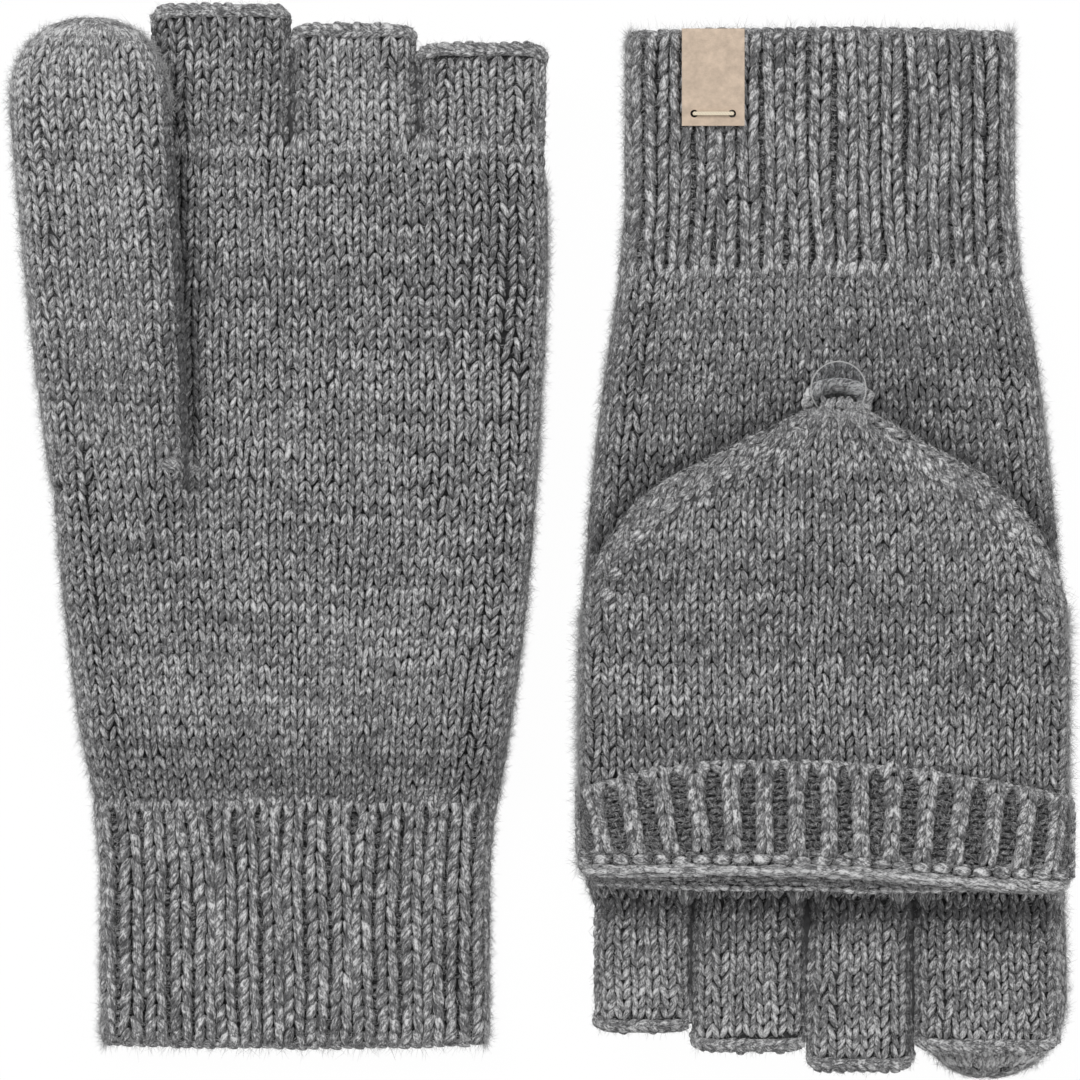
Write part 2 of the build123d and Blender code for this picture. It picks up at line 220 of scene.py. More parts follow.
def wander(a, b, seed):
    """Soft unevenness over a surface, about -1 to 1, the same for the same seed."""
    dice = np.random.default_rng(seed)
    total = np.zeros(np.broadcast(a, b).shape)
    for turn, size in ((1.0, 0.5), (1.9, 0.3), (3.7, 0.2)):
        ka, kb = dice.uniform(-1, 1, 2) * turn
        kc, kd = dice.uniform(-1, 1, 2) * turn
        total = total + size * np.sin(ka * a + kb * b + dice.uniform(0, FULL_TURN))
        total = total + size * np.sin(kc * b - kd * a + dice.uniform(0, FULL_TURN))
    return total


def smooth(low, high, value):
    """0 below low, 1 above high, and a soft step between them."""
    share = np.clip((value - low) / (high - low), 0, 1)
    return share * share * (3 - 2 * share)


def unit(vectors):
    return vectors / np.maximum(np.linalg.norm(vectors, axis=-1, keepdims=True), 1e-9)


def floats(u, v):
    """Two surface coordinates as arrays of one shape."""
    return np.broadcast_arrays(np.asarray(u, float), np.asarray(v, float))


def spots(u, v):
    """Two lists of surface coordinates as one N x 2 array. Either may be a single number."""
    return np.stack(np.broadcast_arrays(u, v), axis=1)


def solid(x, y, z):
    """Places in space from their three coordinates."""
    return np.stack(np.broadcast_arrays(x, y, z), axis=-1)


def way_along(path):
    """Length of the way from the start of a path to each of its points."""
    return np.concatenate(([0], np.cumsum(np.linalg.norm(np.diff(path, axis=0), axis=1))))


def points_at(places, marks, line):
    """Points of a line at the given places, where marks says the place of each point that it is given by."""
    return np.stack([np.interp(places, marks, line[:, axis]) for axis in range(line.shape[1])], axis=-1)


# ---------------------------------------------------------------- mesh building


WOOL, GROUND = 0, 1
CELL_MARGIN = 0.06
SQUARE = np.array(((0.0, 0.0), (1.0, 0.0), (1.0, 1.0), (0.0, 1.0)))


class Cloth:
    """Collects closed bits of yarn, cloth and fibre, and turns them into one mesh.

    Besides its points and faces it keeps, for each corner, a place along the yarn (uvs) and one in a cell of the
    picture map (maps, cells), for each face a material slot, and for each point how light its yarn is (tones).
    """

    def __init__(self):
        self.points, self.faces, self.uvs, self.tones = [], [], [], []
        self.slots, self.maps, self.cells = [], [], []
        self.count = 0
        self.cell_count = 0

    def new_cells(self, count):
        """Numbers of new cells of the picture map, one for each bit of yarn."""
        first = self.cell_count
        self.cell_count += count
        return np.arange(first, first + count)

    def add(self, points, faces, uvs, tones, slot, maps, cells):
        """points is N x 3, and tones N or one number. The others are lists with an entry for each kind of face.

        faces holds arrays of M x 3 or M x 4, uvs and maps the coordinates of their corners, and cells M numbers.
        """
        self.points.append(points)
        for block, corner_uvs, corner_maps, cell in zip(faces, uvs, maps, cells):
            self.faces.append(block + self.count)
            self.uvs.append(corner_uvs)
            self.maps.append(corner_maps)
            self.cells.append(np.broadcast_to(cell, len(block)))
            self.slots.append(np.full(len(block), slot))
        self.tones.append(np.broadcast_to(tones, len(points)))
        self.count += len(points)

    def build(self, side, name, materials):
        """The mesh object, laid on the table."""
        points = lay_down(side, np.concatenate(self.points))
        points[:, 2] = np.maximum(points[:, 2], 0.0)
        flip = side == "left"
        turn = slice(None, None, -1 if flip else 1)
        mesh = bpy.data.meshes.new(name)
        sizes = np.concatenate([np.full(len(block), block.shape[1]) for block in self.faces])
        corners = np.concatenate([block[:, turn].ravel() for block in self.faces])
        strands = np.concatenate([uv[:, turn].reshape(-1, 2) for uv in self.uvs])
        if flip:
            strands = strands * (-1, 1)
        grid = int(math.ceil(math.sqrt(max(1, self.cell_count))))
        placed = []
        for corner_maps, cell in zip(self.maps, self.cells):
            corner = np.stack((cell % grid, cell // grid), axis=-1)[:, None, :]
            inner = CELL_MARGIN + (1 - 2 * CELL_MARGIN) * corner_maps
            placed.append(((corner + inner) / grid)[:, turn].reshape(-1, 2))
        mesh.vertices.add(len(points))
        mesh.vertices.foreach_set("co", points.astype(np.float32).ravel())
        mesh.loops.add(len(corners))
        mesh.loops.foreach_set("vertex_index", corners.astype(np.int32))
        mesh.polygons.add(len(sizes))
        mesh.polygons.foreach_set("loop_start", np.concatenate(([0], np.cumsum(sizes)[:-1])).astype(np.int32))
        mesh.polygons.foreach_set("material_index", np.concatenate(self.slots).astype(np.int32))
        mesh.polygons.foreach_set("use_smooth", np.ones(len(sizes), bool))
        for title, values in (("Strand", strands), ("OFBake", np.concatenate(placed))):
            layer = mesh.uv_layers.new(name=title)
            layer.uv.foreach_set("vector", values.astype(np.float32).ravel())
        tone = mesh.attributes.new("tone", "FLOAT", "POINT")
        tone.data.foreach_set("value", np.concatenate(self.tones).astype(np.float32))
        mesh.update(calc_edges=True)
        return place_mesh(mesh, materials)


def place_mesh(mesh, materials):
    """An object in the scene for a finished mesh."""
    for finish in materials:
        mesh.materials.append(finish)
    thing = bpy.data.objects.new(mesh.name, mesh)
    bpy.context.scene.collection.objects.link(thing)
    return thing


RING_PLACES = np.array([0.0, 0.16, 0.40, 0.64, 0.86, 1.0])
RING_LEVELS = np.array([-1.0, 0.25, 0.9, 1.0, 0.35, -1.0])
RING_WIDTHS = np.array([0.0, 0.72, 1.0, 1.0, 0.74, 0.0])
# Painted shade: each length of yarn is darker towards its ends, where they sink under the crossing stitches.
RING_END_SHADE = np.array([-0.40, -0.16, 0.05, 0.07, -0.10, -0.40])
RING_SIDES = 5


def leg_template():
    """Faces of one short length of yarn: a point, four rings of five corners and a point."""
    rings = len(RING_PLACES) - 2
    quads, quad_uvs, tris, tri_uvs = [], [], [], []
    for ring in range(rings - 1):
        for side in range(RING_SIDES):
            after = (side + 1) % RING_SIDES
            a, b = 1 + ring * RING_SIDES + side, 1 + ring * RING_SIDES + after
            quads.append((a, b, b + RING_SIDES, a + RING_SIDES))
            left, right = side / RING_SIDES, (side + 1) / RING_SIDES
            low, high = RING_PLACES[ring + 1], RING_PLACES[ring + 2]
            quad_uvs.append(((left, low), (right, low), (right, high), (left, high)))
    last = 1 + rings * RING_SIDES
    for side in range(RING_SIDES):
        after = (side + 1) % RING_SIDES
        left, right = side / RING_SIDES, (side + 1) / RING_SIDES
        tris.append((0, 1 + after, 1 + side))
        tri_uvs.append((((left + right) / 2, 0), (right, RING_PLACES[1]), (left, RING_PLACES[1])))
        top = 1 + (rings - 1) * RING_SIDES
        tris.append((last, top + side, top + after))
        tri_uvs.append((((left + right) / 2, 1), (left, RING_PLACES[-2]), (right, RING_PLACES[-2])))
    return [np.array(quads), np.array(tris)], [np.array(quad_uvs, float), np.array(tri_uvs, float)], last + 1


LEG_FACES, LEG_UVS, LEG_POINTS = leg_template()


SLOPE_STEP = 0.04


def with_normals(point, outward):
    """A surface point(u, v) as a function that also gives its outward direction."""

    def both(u, v):
        here = point(u, v)
        across = point(u + SLOPE_STEP, v) - point(u - SLOPE_STEP, v)
        along = point(u, v + SLOPE_STEP) - point(u, v - SLOPE_STEP)
        return here, unit(np.cross(across, along)) * outward

    return both


def lay_yarn(cloth, surface, start, end, rise, sink, width, depth, tone, seed, bow=0):
    """Short lengths of yarn on a surface, each an arch from start to end, which are N x 2 surface coordinates.

    The middle of each arch stands out by rise and its ends go in by sink. width and depth are half of the yarn's, bow
    bends it sideways, and tone says how light it is.
    """
    dice = np.random.default_rng(seed)
    count = len(start)
    if count == 0:
        return
    rise, sink, width, depth, bow, tone = [
        np.broadcast_to(np.asarray(value, float), count)[:, None] for value in (rise, sink, width, depth, bow, tone)
    ]
    t = RING_PLACES[None, :]
    arch = np.sin(np.pi * t)
    u = start[:, :1] + (end - start)[:, :1] * t + bow * arch
    v = start[:, 1:] + (end - start)[:, 1:] * t
    centre, normal = surface(u, v)
    level = np.where(RING_LEVELS > 0, rise * RING_LEVELS, sink * RING_LEVELS)
    centre = centre + normal * level[..., None]
    along = unit(np.gradient(centre, axis=1))
    across = unit(np.cross(along, normal))
    up = np.cross(across, along)
    angle = -np.pi / 2 + 2 * np.pi * np.arange(RING_SIDES) / RING_SIDES
    body = slice(1, len(RING_PLACES) - 1)
    wide = (width * RING_WIDTHS)[:, body, None, None] * across[:, body, None, :] * np.cos(angle)[None, None, :, None]
    high = (depth * RING_WIDTHS)[:, body, None, None] * up[:, body, None, :] * np.sin(angle)[None, None, :, None]
    rings = (centre[:, body, None, :] + wide + high).reshape(count, -1, 3)
    points = np.concatenate((centre[:, :1], rings, centre[:, -1:]), axis=1)
    first = (np.arange(count) * LEG_POINTS)[:, None, None]
    faces = [(block[None] + first).reshape(-1, block.shape[1]) for block in LEG_FACES]
    shift = np.stack((np.zeros(count), np.floor(dice.uniform(0, 400, count))), axis=1)
    uvs = [(block[None] + shift[:, None, None, :]).reshape(-1, block.shape[1], 2) for block in LEG_UVS]
    cells = [np.repeat(cloth.new_cells(count), len(block)) for block in LEG_FACES]
    maps = [np.broadcast_to(block[None], (count,) + block.shape).reshape(-1, block.shape[1], 2) for block in LEG_UVS]
    # The rings carry painted shade, darker towards the sunk ends of the yarn.
    end_shade = np.concatenate((RING_END_SHADE[:1], np.repeat(RING_END_SHADE[1:-1], RING_SIDES), RING_END_SHADE[-1:]))
    cloth.add(points.reshape(-1, 3), faces, uvs, (tone + end_shade[None, :]).ravel(), WOOL, maps, cells)


def stitch_places(columns, rows):
    """Middles of all stitches of a piece of knitting, column by column."""
    column, row = np.meshgrid(np.arange(columns), np.arange(rows), indexing="ij")
    return column.ravel() + 0.5, row.ravel() + 0.5


def plain_knit(cloth, surface, columns, rows, settings, seed, keep=None, scale=1.0, shade=0.5):
    """Plain knitting: each stitch is two legs that lean together at their upper end.

    keep(u, v) says which stitches exist, and shade, a number or a function of u and v, how light they are.
    """
    dice = np.random.default_rng(settings.seed * 1000 + seed)
    column, row = stitch_places(columns, rows)
    if keep is not None:
        there = keep(column, row)
        column, row = column[there], row[there]
    count = len(column)

    def uneven(spread):
        return dice.normal(0, spread, count) * settings.unevenness

    middle = column + settings.unevenness * 0.14 * wander(column * 0.3, row * 0.21, seed + 1) + uneven(0.035)
    level = row + settings.unevenness * 0.30 * wander(column * 0.22, row * 0.12, seed + 2) + uneven(0.07)
    yarn_tone = shade(column, row) if callable(shade) else shade
    yarn_tone = yarn_tone + 0.08 * wander(column * 0.30 + row * 37.0, row * 2.3, seed + 3)
    yarn_tone = yarn_tone + 0.06 * wander(column * 0.12, row * 0.35, seed + 4)
    for leg in (-1, 1):
        wide = 0.46 + uneven(0.04)
        narrow = 0.05 + uneven(0.035)
        base = level - (0.82 + uneven(0.07))
        top = level + (0.80 + uneven(0.07))
        start, end = spots(middle + leg * wide, base), spots(middle + leg * narrow, top)
        thick = scale * settings.yarn * (1 + uneven(0.07))
        deep = scale * settings.depth * (1 + uneven(0.06))
        rise = settings.rise + uneven(0.14)
        tone = yarn_tone + dice.normal(0, 0.055, count)
        lay_yarn(
            cloth, surface, start, end, rise=rise, sink=settings.sink, width=thick, depth=deep, bow=leg * 0.02,
            tone=tone, seed=seed * 7 + leg,
        )


def side_loop(surfaces, columns, v, steps, level):
    """Points all round a tube at row v, at a level over its surface: over the back and home along the palm."""
    share = np.linspace(0, 1, steps)
    rounds = []
    for surface, order in zip(surfaces, (1, -1)):
        here, normal = surface(columns * share[::order], np.full(steps, float(v)))
        rounds.append((here + normal * level)[:-1])
    return np.concatenate(rounds)


def ground_tube(cloth, surfaces, columns, rows, level, thickness, steps=40, row_step=2.0):
    """Ground cloth under the stitches of a tube, as a closed wall with an inside and open ends."""
    places = np.linspace(0.0, rows, max(4, int(rows / row_step)))
    outer = np.stack([side_loop(surfaces, columns, v, steps, -level) for v in places])
    inner = np.stack([side_loop(surfaces, columns, v, steps, -level - thickness) for v in places])
    wall(cloth, outer, inner, round_trip=True)


def ground_sheet(cloth, surface, u, v, level, thickness):
    """Ground cloth under one surface, as a closed sheet over the given columns and rows."""
    here, normal = surface(*np.meshgrid(u, v))
    wall(cloth, here - normal * level, here - normal * (level + thickness))


GROUND_TONE = 0.3


def wall(cloth, outer, inner, round_trip=False):
    """A closed wall between two grids of points (rows x columns x 3)."""
    rows, around = outer.shape[:2]
    index = np.arange(rows * around).reshape(rows, around)
    inside = index + rows * around
    if round_trip:
        index, inside = np.hstack((index, index[:, :1])), np.hstack((inside, inside[:, :1]))

    def grid(block, turn):
        quads = np.stack((block[:-1, :-1], block[:-1, 1:], block[1:, 1:], block[1:, :-1]), axis=-1).reshape(-1, 4)
        return quads[:, ::-1] if turn else quads

    def border(outside, within, turn):
        strip = np.stack((outside[:-1], outside[1:], within[1:], within[:-1]), axis=-1)
        return strip[:, ::-1] if turn else strip

    faces = [grid(index, True), grid(inside, False)]
    faces += [border(index[row], inside[row], turn) for row, turn in ((0, False), (-1, True))]
    if not round_trip:
        faces += [border(index[:, side], inside[:, side], turn) for side, turn in ((0, True), (-1, False))]
    maps = [np.broadcast_to(SQUARE, block.shape + (2,)) for block in faces]
    cells = [cloth.new_cells(len(block)) for block in faces]
    points = np.concatenate((outer.reshape(-1, 3), inner.reshape(-1, 3)))
    cloth.add(points, faces, maps, GROUND_TONE, GROUND, maps, cells)


CORD_SIDES = 6
LENGTH_A_TWIST = 4.0


def cord_directions(path):
    """Directions along, across and up at each point of a path."""
    along = unit(np.gradient(path, axis=0))
    across = unit(np.cross(along, np.array((0.13, 0.07, 1.0))))
    return along, across, np.cross(across, along)


def corner_places(left, right, low, high):
    """Coordinates of the four corners of each face of a strip."""
    return np.stack([spots(*corner) for corner in ((left, low), (right, low), (right, high), (left, high))], axis=1)


def lay_cord(cloth, path, radius, tone):
    """One unbroken strand through the points of a path, with pointed ends."""
    along, across, up = cord_directions(path)
    count, sides = len(path), CORD_SIDES
    ends = np.minimum(np.arange(count), np.arange(count)[::-1])
    thick = (radius * np.sqrt(np.clip((ends + 0.15) / 1.6, 0, 1)))[:, None, None]
    angle = (-np.pi / 2 + 2 * np.pi * np.arange(sides) / sides)[None, :, None]
    rings = path[:, None] + thick * (across[:, None] * np.cos(angle) + up[:, None] * np.sin(angle))
    tips = path[:1] - along[:1] * radius * 0.2, path[-1:] + along[-1:] * radius * 0.2
    points = np.concatenate((rings.reshape(-1, 3), *tips))
    way = way_along(path) / LENGTH_A_TWIST
    ring, side = (grid.ravel() for grid in np.meshgrid(np.arange(count - 1), np.arange(sides), indexing="ij"))
    corners = ((ring, side), (ring, (side + 1) % sides), (ring + 1, (side + 1) % sides), (ring + 1, side))
    quads = np.stack([at_ring * sides + at_side for at_ring, at_side in corners], axis=1)
    left, right = side / sides, (side + 1) / sides
    place = corner_places(left, right, way[ring], way[ring + 1])
    flat = corner_places(left, right, 0.0, 1.0)
    first, last = count * sides, count * sides + 1
    around = np.arange(sides)
    on = (around + 1) % sides
    start_cap = np.stack((np.full(sides, first), on, around), 1)
    end_cap = np.stack((np.full(sides, last), (count - 1) * sides + around, (count - 1) * sides + on), 1)
    caps = np.concatenate((start_cap, end_cap))
    cap_flat = np.broadcast_to(np.array(((0.5, 0.0), (1.0, 1.0), (0.0, 1.0))), (2 * sides, 3, 2))
    cells = cloth.new_cells(count)
    cap_cells = cloth.new_cells(2 * sides)
    cloth.add(points, [quads, caps], [place, cap_flat], tone, WOOL, [flat, cap_flat], [cells[ring], cap_cells])


def twist_cord(cloth, path, radius, strands, turn, tone):
    """A cord of strands wound round each other along a path, one full turn in each length of turn."""
    way = way_along(path)
    even = np.linspace(0, way[-1], max(8, int(way[-1] / 0.45)))
    path = points_at(even, way, path)
    _, across, up = cord_directions(path)
    for number in range(strands):
        angle = (2 * np.pi * (even / turn + number / strands))[:, None]
        strand = path + 0.5 * radius * (across * np.cos(angle) + up * np.sin(angle))
        lay_cord(cloth, strand, radius=radius * 0.56, tone=tone + 0.1 * number)


FIBRE_FACES = np.array(((0, 2, 1), (0, 3, 2), (0, 1, 3), (4, 1, 2), (4, 2, 3), (4, 3, 1)))
FIBRE_POINTS = 5
FIBRE_ANGLES = (0.0, 2.094, 4.189)
FIBRE_TONE = 0.6
SHORTEST_FIBRE = 0.7


def lay_fuzz(cloth, surface, columns, rows, count, seed, edge, keep=None, longest=4.2, nap=False):
    """Loose fibres that stand out of the cloth. The share edge of them grows along its sides.

    Nap fibres are short and lie low. keep(u, v) says where fibres may grow.
    """
    dice = np.random.default_rng(seed)
    at_edge = dice.random(count) < edge
    beside = np.where(dice.random(count) < 0.5, 0.0, columns) + dice.normal(0, 0.45, count)
    u = np.where(at_edge, beside, dice.uniform(0, columns, count))
    u = np.clip(u, 0.01, columns - 0.01)
    v = dice.uniform(0, rows, count)
    if keep is not None:
        there = keep(u, v)
        u, v = u[there], v[there]
        count = len(u)
    here, normal = surface(u, v)
    loose = unit(dice.normal(0, 1, (count, 3)))
    flat = unit(np.cross(normal, loose))
    if nap:
        lift = dice.uniform(0.0, 0.35, count)
    else:
        at_side, on_top = dice.uniform(0.2, 2.0, count), dice.uniform(0.1, 0.8, count)
        lift = np.where(np.abs(normal[:, 0]) > 0.5, at_side, on_top)
    aim = unit(flat + normal * lift[:, None])
    bend = unit(np.cross(aim, loose)) * dice.uniform(0.2, 0.9, count)[:, None]
    chance = dice.random(count)
    length = 0.8 + 2.2 * chance if nap else SHORTEST_FIBRE + (longest - SHORTEST_FIBRE) * chance**2.2
    length = length[:, None]
    thick = dice.uniform(0.028, 0.050, count)[:, None]
    side = unit(np.cross(aim, bend))
    up = unit(np.cross(aim, side))
    start = here + normal * (dice.uniform(0.35, 0.75, count)[:, None] if nap else 0.2)
    places = [start + aim * length * share + bend * length * share**2 * 0.8 for share in (0.0, 0.5, 1.0)]
    rings = [places[1] + thick * (side * math.cos(angle) + up * math.sin(angle)) for angle in FIBRE_ANGLES]
    points = np.stack([places[0]] + rings + [places[-1]], axis=1)
    first = (np.arange(count) * FIBRE_POINTS)[:, None, None]
    faces = (FIBRE_FACES[None] + first).reshape(-1, 3)
    maps = [np.broadcast_to(SQUARE[:3], faces.shape + (2,))]
    cloth.cell_count = max(cloth.cell_count, 1)
    cloth.add(points.reshape(-1, 3), [faces], maps, FIBRE_TONE, WOOL, maps, [np.zeros(len(faces), int)])


# ---------------------------------------------------------------- shapes of the tubes


def flat_oval(share, half_width, half_depth, corner):
    """Place on the upper half of a flat oval, for a share of the way from its -X end to its +X end: x and height."""
    bend = np.pi / 2 * np.sqrt((corner**2 + half_depth**2) / 2)
    level = 2 * (half_width - corner)
    way = np.clip(share, 0, 1) * (2 * bend + level)
    turn_in = np.clip(way / bend, 0, 1) * np.pi / 2
    turn_out = np.clip((way - bend - level) / bend, 0, 1) * np.pi / 2
    x = -half_width + corner * (1 - np.cos(turn_in)) + np.clip(way - bend, 0, level) + corner * np.sin(turn_out)
    return x, half_depth * np.sin(turn_in) * np.cos(turn_out)


# The thumb's place across the palm, how high its root swells, where it starts to lean, and its tip.
THUMB_SHIFT = {"left": -39.5, "right": -37.5}
THUMB_SWELL = 8.3
THUMB_BEND = -63.0
TIP_LENGTH = 21.0
TIP_ROUNDNESS = 2.3


class HandShape:
    """The hand tube with the swelling from which the thumb grows."""

    def __init__(self, side, settings):
        low, high = own_box(side, "hand_tube")
        finger_low, finger_high = own_box(side, "middle_finger")
        self.side, self.settings = side, settings
        self.wrist, self.roots = low[1], finger_low[1]
        self.bottom, self.top = finger_low[2], finger_high[2]
        self.middle = (self.bottom + self.top) / 2
        self.depth = (self.top - self.bottom) / 2
        self.widest = (high[0] - low[0]) / 2
        self.corner = 9.0
        self.droop = STACK - self.top if side == "left" else -self.bottom
        self.web = self.roots + 8.2
        self.palm_rows = int(round((self.web - self.wrist) / settings.row_pitch))
        self.columns = settings.columns
        self.rows = int(round((self.roots - self.wrist) / settings.row_pitch))
        self.row = (self.roots - self.wrist) / self.rows

    def half_width(self, y):
        reach = (y + 30.0) / (-self.wrist - 30.0)
        return self.widest - 10.0 * reach**2

    def centre(self, y):
        """Level of the tube's middle: it comes down to the table at the wrist."""
        eased = (1 - np.cos(np.pi * np.clip((self.wrist + 20.0 - y) / 20.0, 0, 1))) / 2
        return self.middle + self.droop * eased

    def face(self, upper):
        inset = self.settings.inset

        def point(u, v):
            u, v = floats(u, v)
            y = self.wrist + v * self.row
            half = self.half_width(y)
            x, height = flat_oval(u / self.columns, half - inset * 0.8, self.depth - inset, self.corner)
            soft = 0.35 * wander(x * 0.05, y * 0.05, 11 + upper) * height / self.depth
            if upper:
                z = self.centre(y) + height + soft
            else:
                z = self.centre(y) - height - soft - self.swelling(x, y, half)
            return solid(self.spread(x, y), y, z)

        return with_normals(point, 1 if upper else -1)

    def spread(self, x, y):
        """Place across, with the left mitten's little finger side spread out.

        Past the roots the tube is as wide as the fingers.
        """
        if self.side == "left":
            return x + (1.2 + 2.0 * smooth(-60.0, 0.0, y) + 0.6 * smooth(0.0, 34.0, y)) * smooth(29.5, 56.0, x)
        return x - 2.4 * smooth(-6.0, 6.0, y) * smooth(20.0, 56.0, x)

    def swelling(self, x, y, half):
        """Height of the thumb's root over the palm."""
        ragged = 2.5 * wander(x * 0.3, y * 0.12, 25)
        along = smooth(-106.0, -64.0, y) * (1 - smooth(-59.0, -50.0, y + ragged))
        shift = THUMB_SHIFT[self.side]
        easy = 1 - smooth(-88.0, -60.0, y)
        across = (1 - smooth(shift + 11.5 - 8.0 * easy, shift + 16.0 + 5.0 * easy, x)) * smooth(-half, -half + 5.0, x)
        return THUMB_SWELL * along * np.clip(across, 0, 1) ** (0.5 + 0.5 * easy)


class FingerShape:
    """One half finger, an open tube."""

    def __init__(self, side, name, hand, settings):
        low, high = own_box(side, f"{name}_finger")
        self.side, self.settings, self.hand = side, settings, hand
        self.high = high
        self.half = (high[0] - low[0]) / 2
        self.x = (high[0] + low[0]) / 2
        self.corner = 7.0
        self.root, self.end = low[1], high[1]
        if side == "left" and name == "index":
            self.end -= 6.0
        self.reach = 1.7 if side == "left" and name == "middle" else 0.0
        self.columns = int(round((2 * self.half + 3.0) / settings.column_pitch))
        self.rows = int(round((self.end - 3.0 - self.root) / settings.row_pitch))
        self.row = (self.end - 3.0 - self.root) / self.rows

    def face(self, upper):
        inset = self.settings.inset
        half, depth = self.half - 0.42 - inset * 0.4, self.hand.depth - inset

        def point(u, v):
            u, v = floats(u, v)
            share = np.clip(v / self.rows, 0, 1.1)
            y = self.root + v * self.row - 2.2 * share**3 * np.abs(2 * u / self.columns - 1) ** 8
            x, height = flat_oval(u / self.columns, half, depth, self.corner)
            x = x * (1 + 0.012 * share**2) + 0.25 * wander(y * 0.2, y * 0.1, 51 + int(self.x))
            x = x - self.reach * smooth(0.2, 0.5, share) * smooth(0.2 * self.half, -self.half, x)
            side_in = 1.2 * smooth(0.55 * self.half, self.half, np.abs(x)) * smooth(0.0, 0.3, share)
            z = self.hand.middle + (height - side_in if upper else side_in - height)
            across = self.hand.spread(self.x + x, y) if self.side == "left" else self.x + x
            return solid(across, y, z)

        return with_normals(point, 1 if upper else -1)


class ThumbShape:
    """The full thumb with a gathered tip."""

    def __init__(self, side, settings):
        self.side, self.settings = side, settings
        self.tip = own_box(side, "thumb_tube")[1][1] + (-1.9 if side == "left" else 0.8)
        self.root = -68.0
        self.lean = math.radians(4.5 if side == "left" else 1.6)
        self.depth = 4.1
        self.corner = 8.0
        self.columns = 12
        self.rows = int(round((self.tip - self.root) / settings.row_pitch))
        self.row = (self.tip - self.root) / self.rows

    def half_width(self, y):
        share = np.clip(1 - (y - self.root) / 80.0, 0, 1)
        return (18.2 if self.side == "left" else 17.3) - 2.7 * share**2

    def middle_line(self, y):
        """Place across of the thumb's middle at y."""
        return THUMB_SHIFT[self.side] - (y - THUMB_BEND) * self.lean

    def rounding(self, y):
        """How far y is into the rounded tip, 0 to almost 1, and the share of the width that is left there."""
        past = np.clip(1 - (self.tip - y) / TIP_LENGTH, 0, 0.996)
        return past, (1 - past**TIP_ROUNDNESS) ** (1 / TIP_ROUNDNESS)

    def face(self, upper):
        inset = self.settings.inset

        def point(u, v):
            u, v = floats(u, v)
            y = self.root + v * self.row
            past, left_wide = self.rounding(y)
            half = (self.half_width(y) - inset * 0.6) * left_wide
            thin = np.clip(1 - (self.tip - y) / 7.0, 0, 0.996)
            depth = (self.depth - inset) * np.sqrt(1 - thin**2) + 0.05
            x, height = flat_oval(u / self.columns, half, depth, np.minimum(self.corner, half * 0.7))
            x = self.middle_line(y) + x + 1.6 * past**2
            soft = 0.25 * wander(x * 0.07, y * 0.06, 21) * height / self.depth
            ragged = 2.5 * wander(x * 0.3, x * 0.1, 23)
            sunk = 2.4 * (1 - smooth(self.root + 2.0, self.root + 15.0, y + ragged))
            z = self.depth + (height + soft if upper else -height - soft + sunk)
            return solid(x, y, z)

        return with_normals(point, 1 if upper else -1)

    def cap(self):
        """Edge round the tip: u 0 to 12 goes over the tip, v across its thickness."""

        def point(u, v):
            u, v = floats(u, v)
            turn = u / 6.0 - 1.0
            y = self.tip - 0.1 - 13.0 * np.abs(turn) ** TIP_ROUNDNESS
            past, left_wide = self.rounding(y)
            x = self.middle_line(y) + np.sign(turn) * (self.half_width(y) - 0.9) * left_wide + 1.6 * past**2
            return solid(x, y, self.depth + (v - 0.5) * 4.0)

        return with_normals(point, -1)


class CuffShape:
    """The ribbed cuff."""

    def __init__(self, side):
        low, high = own_box(side, "wrist_cuff")
        self.half = (high[0] - low[0]) / 2
        self.depth = (high[2] - low[2]) / 2
        self.middle = (high[2] + low[2]) / 2
        self.corner = 7.0
        self.start, self.end = high[1], low[1]
        self.ribs = 17
        self.rows = 18
        self.row = (self.start - self.end) / self.rows

    def face(self, upper):
        def point(u, v):
            u, v = floats(u, v)
            flare = 1 + 0.032 * smooth(self.rows - 6.0, self.rows + 1.0, v) - 0.012 * smooth(1.2, 0.0, v)
            x, height = flat_oval(u / self.ribs, (self.half - 1.0) * flare, self.depth - 1.3, self.corner)
            bulge = 0.9 * (1 - (x / self.half) ** 2)
            y = self.end + v * self.row - bulge * (1 - v / self.rows)
            return solid(x, y, self.middle + (height if upper else -height))

        return with_normals(point, 1 if upper else -1)


OUTLINE_STEP = 0.5


def rounded_outline(corners, radii):
    """Points at even steps along a line through corners that are rounded by arcs."""
    points = [np.array(corners[0], float)]
    for before, corner, after, radius in zip(corners[:-2], corners[1:-1], corners[2:], radii):
        before, corner, after = (np.array(place, float) for place in (before, corner, after))
        back, on = unit(before - corner), unit(after - corner)
        half = math.acos(float(np.clip(back @ on, -1, 1))) / 2
        centre = corner + unit(back + on) * radius / math.sin(half)
        first, last = corner + back * radius / math.tan(half), corner + on * radius / math.tan(half)
        turn = math.pi - 2 * half
        start = math.atan2(*(first - centre)[::-1])
        sense = np.sign(np.cross(first - centre, last - centre))
        for share in np.linspace(0, 1, max(3, int(radius * turn / OUTLINE_STEP))):
            angle = start + sense * turn * share
            points.append(centre + radius * np.array((math.cos(angle), math.sin(angle))))
    points.append(np.array(corners[-1], float))
    line = np.array(points)
    way = way_along(line)
    return points_at(np.arange(0, way[-1], OUTLINE_STEP), way, line)


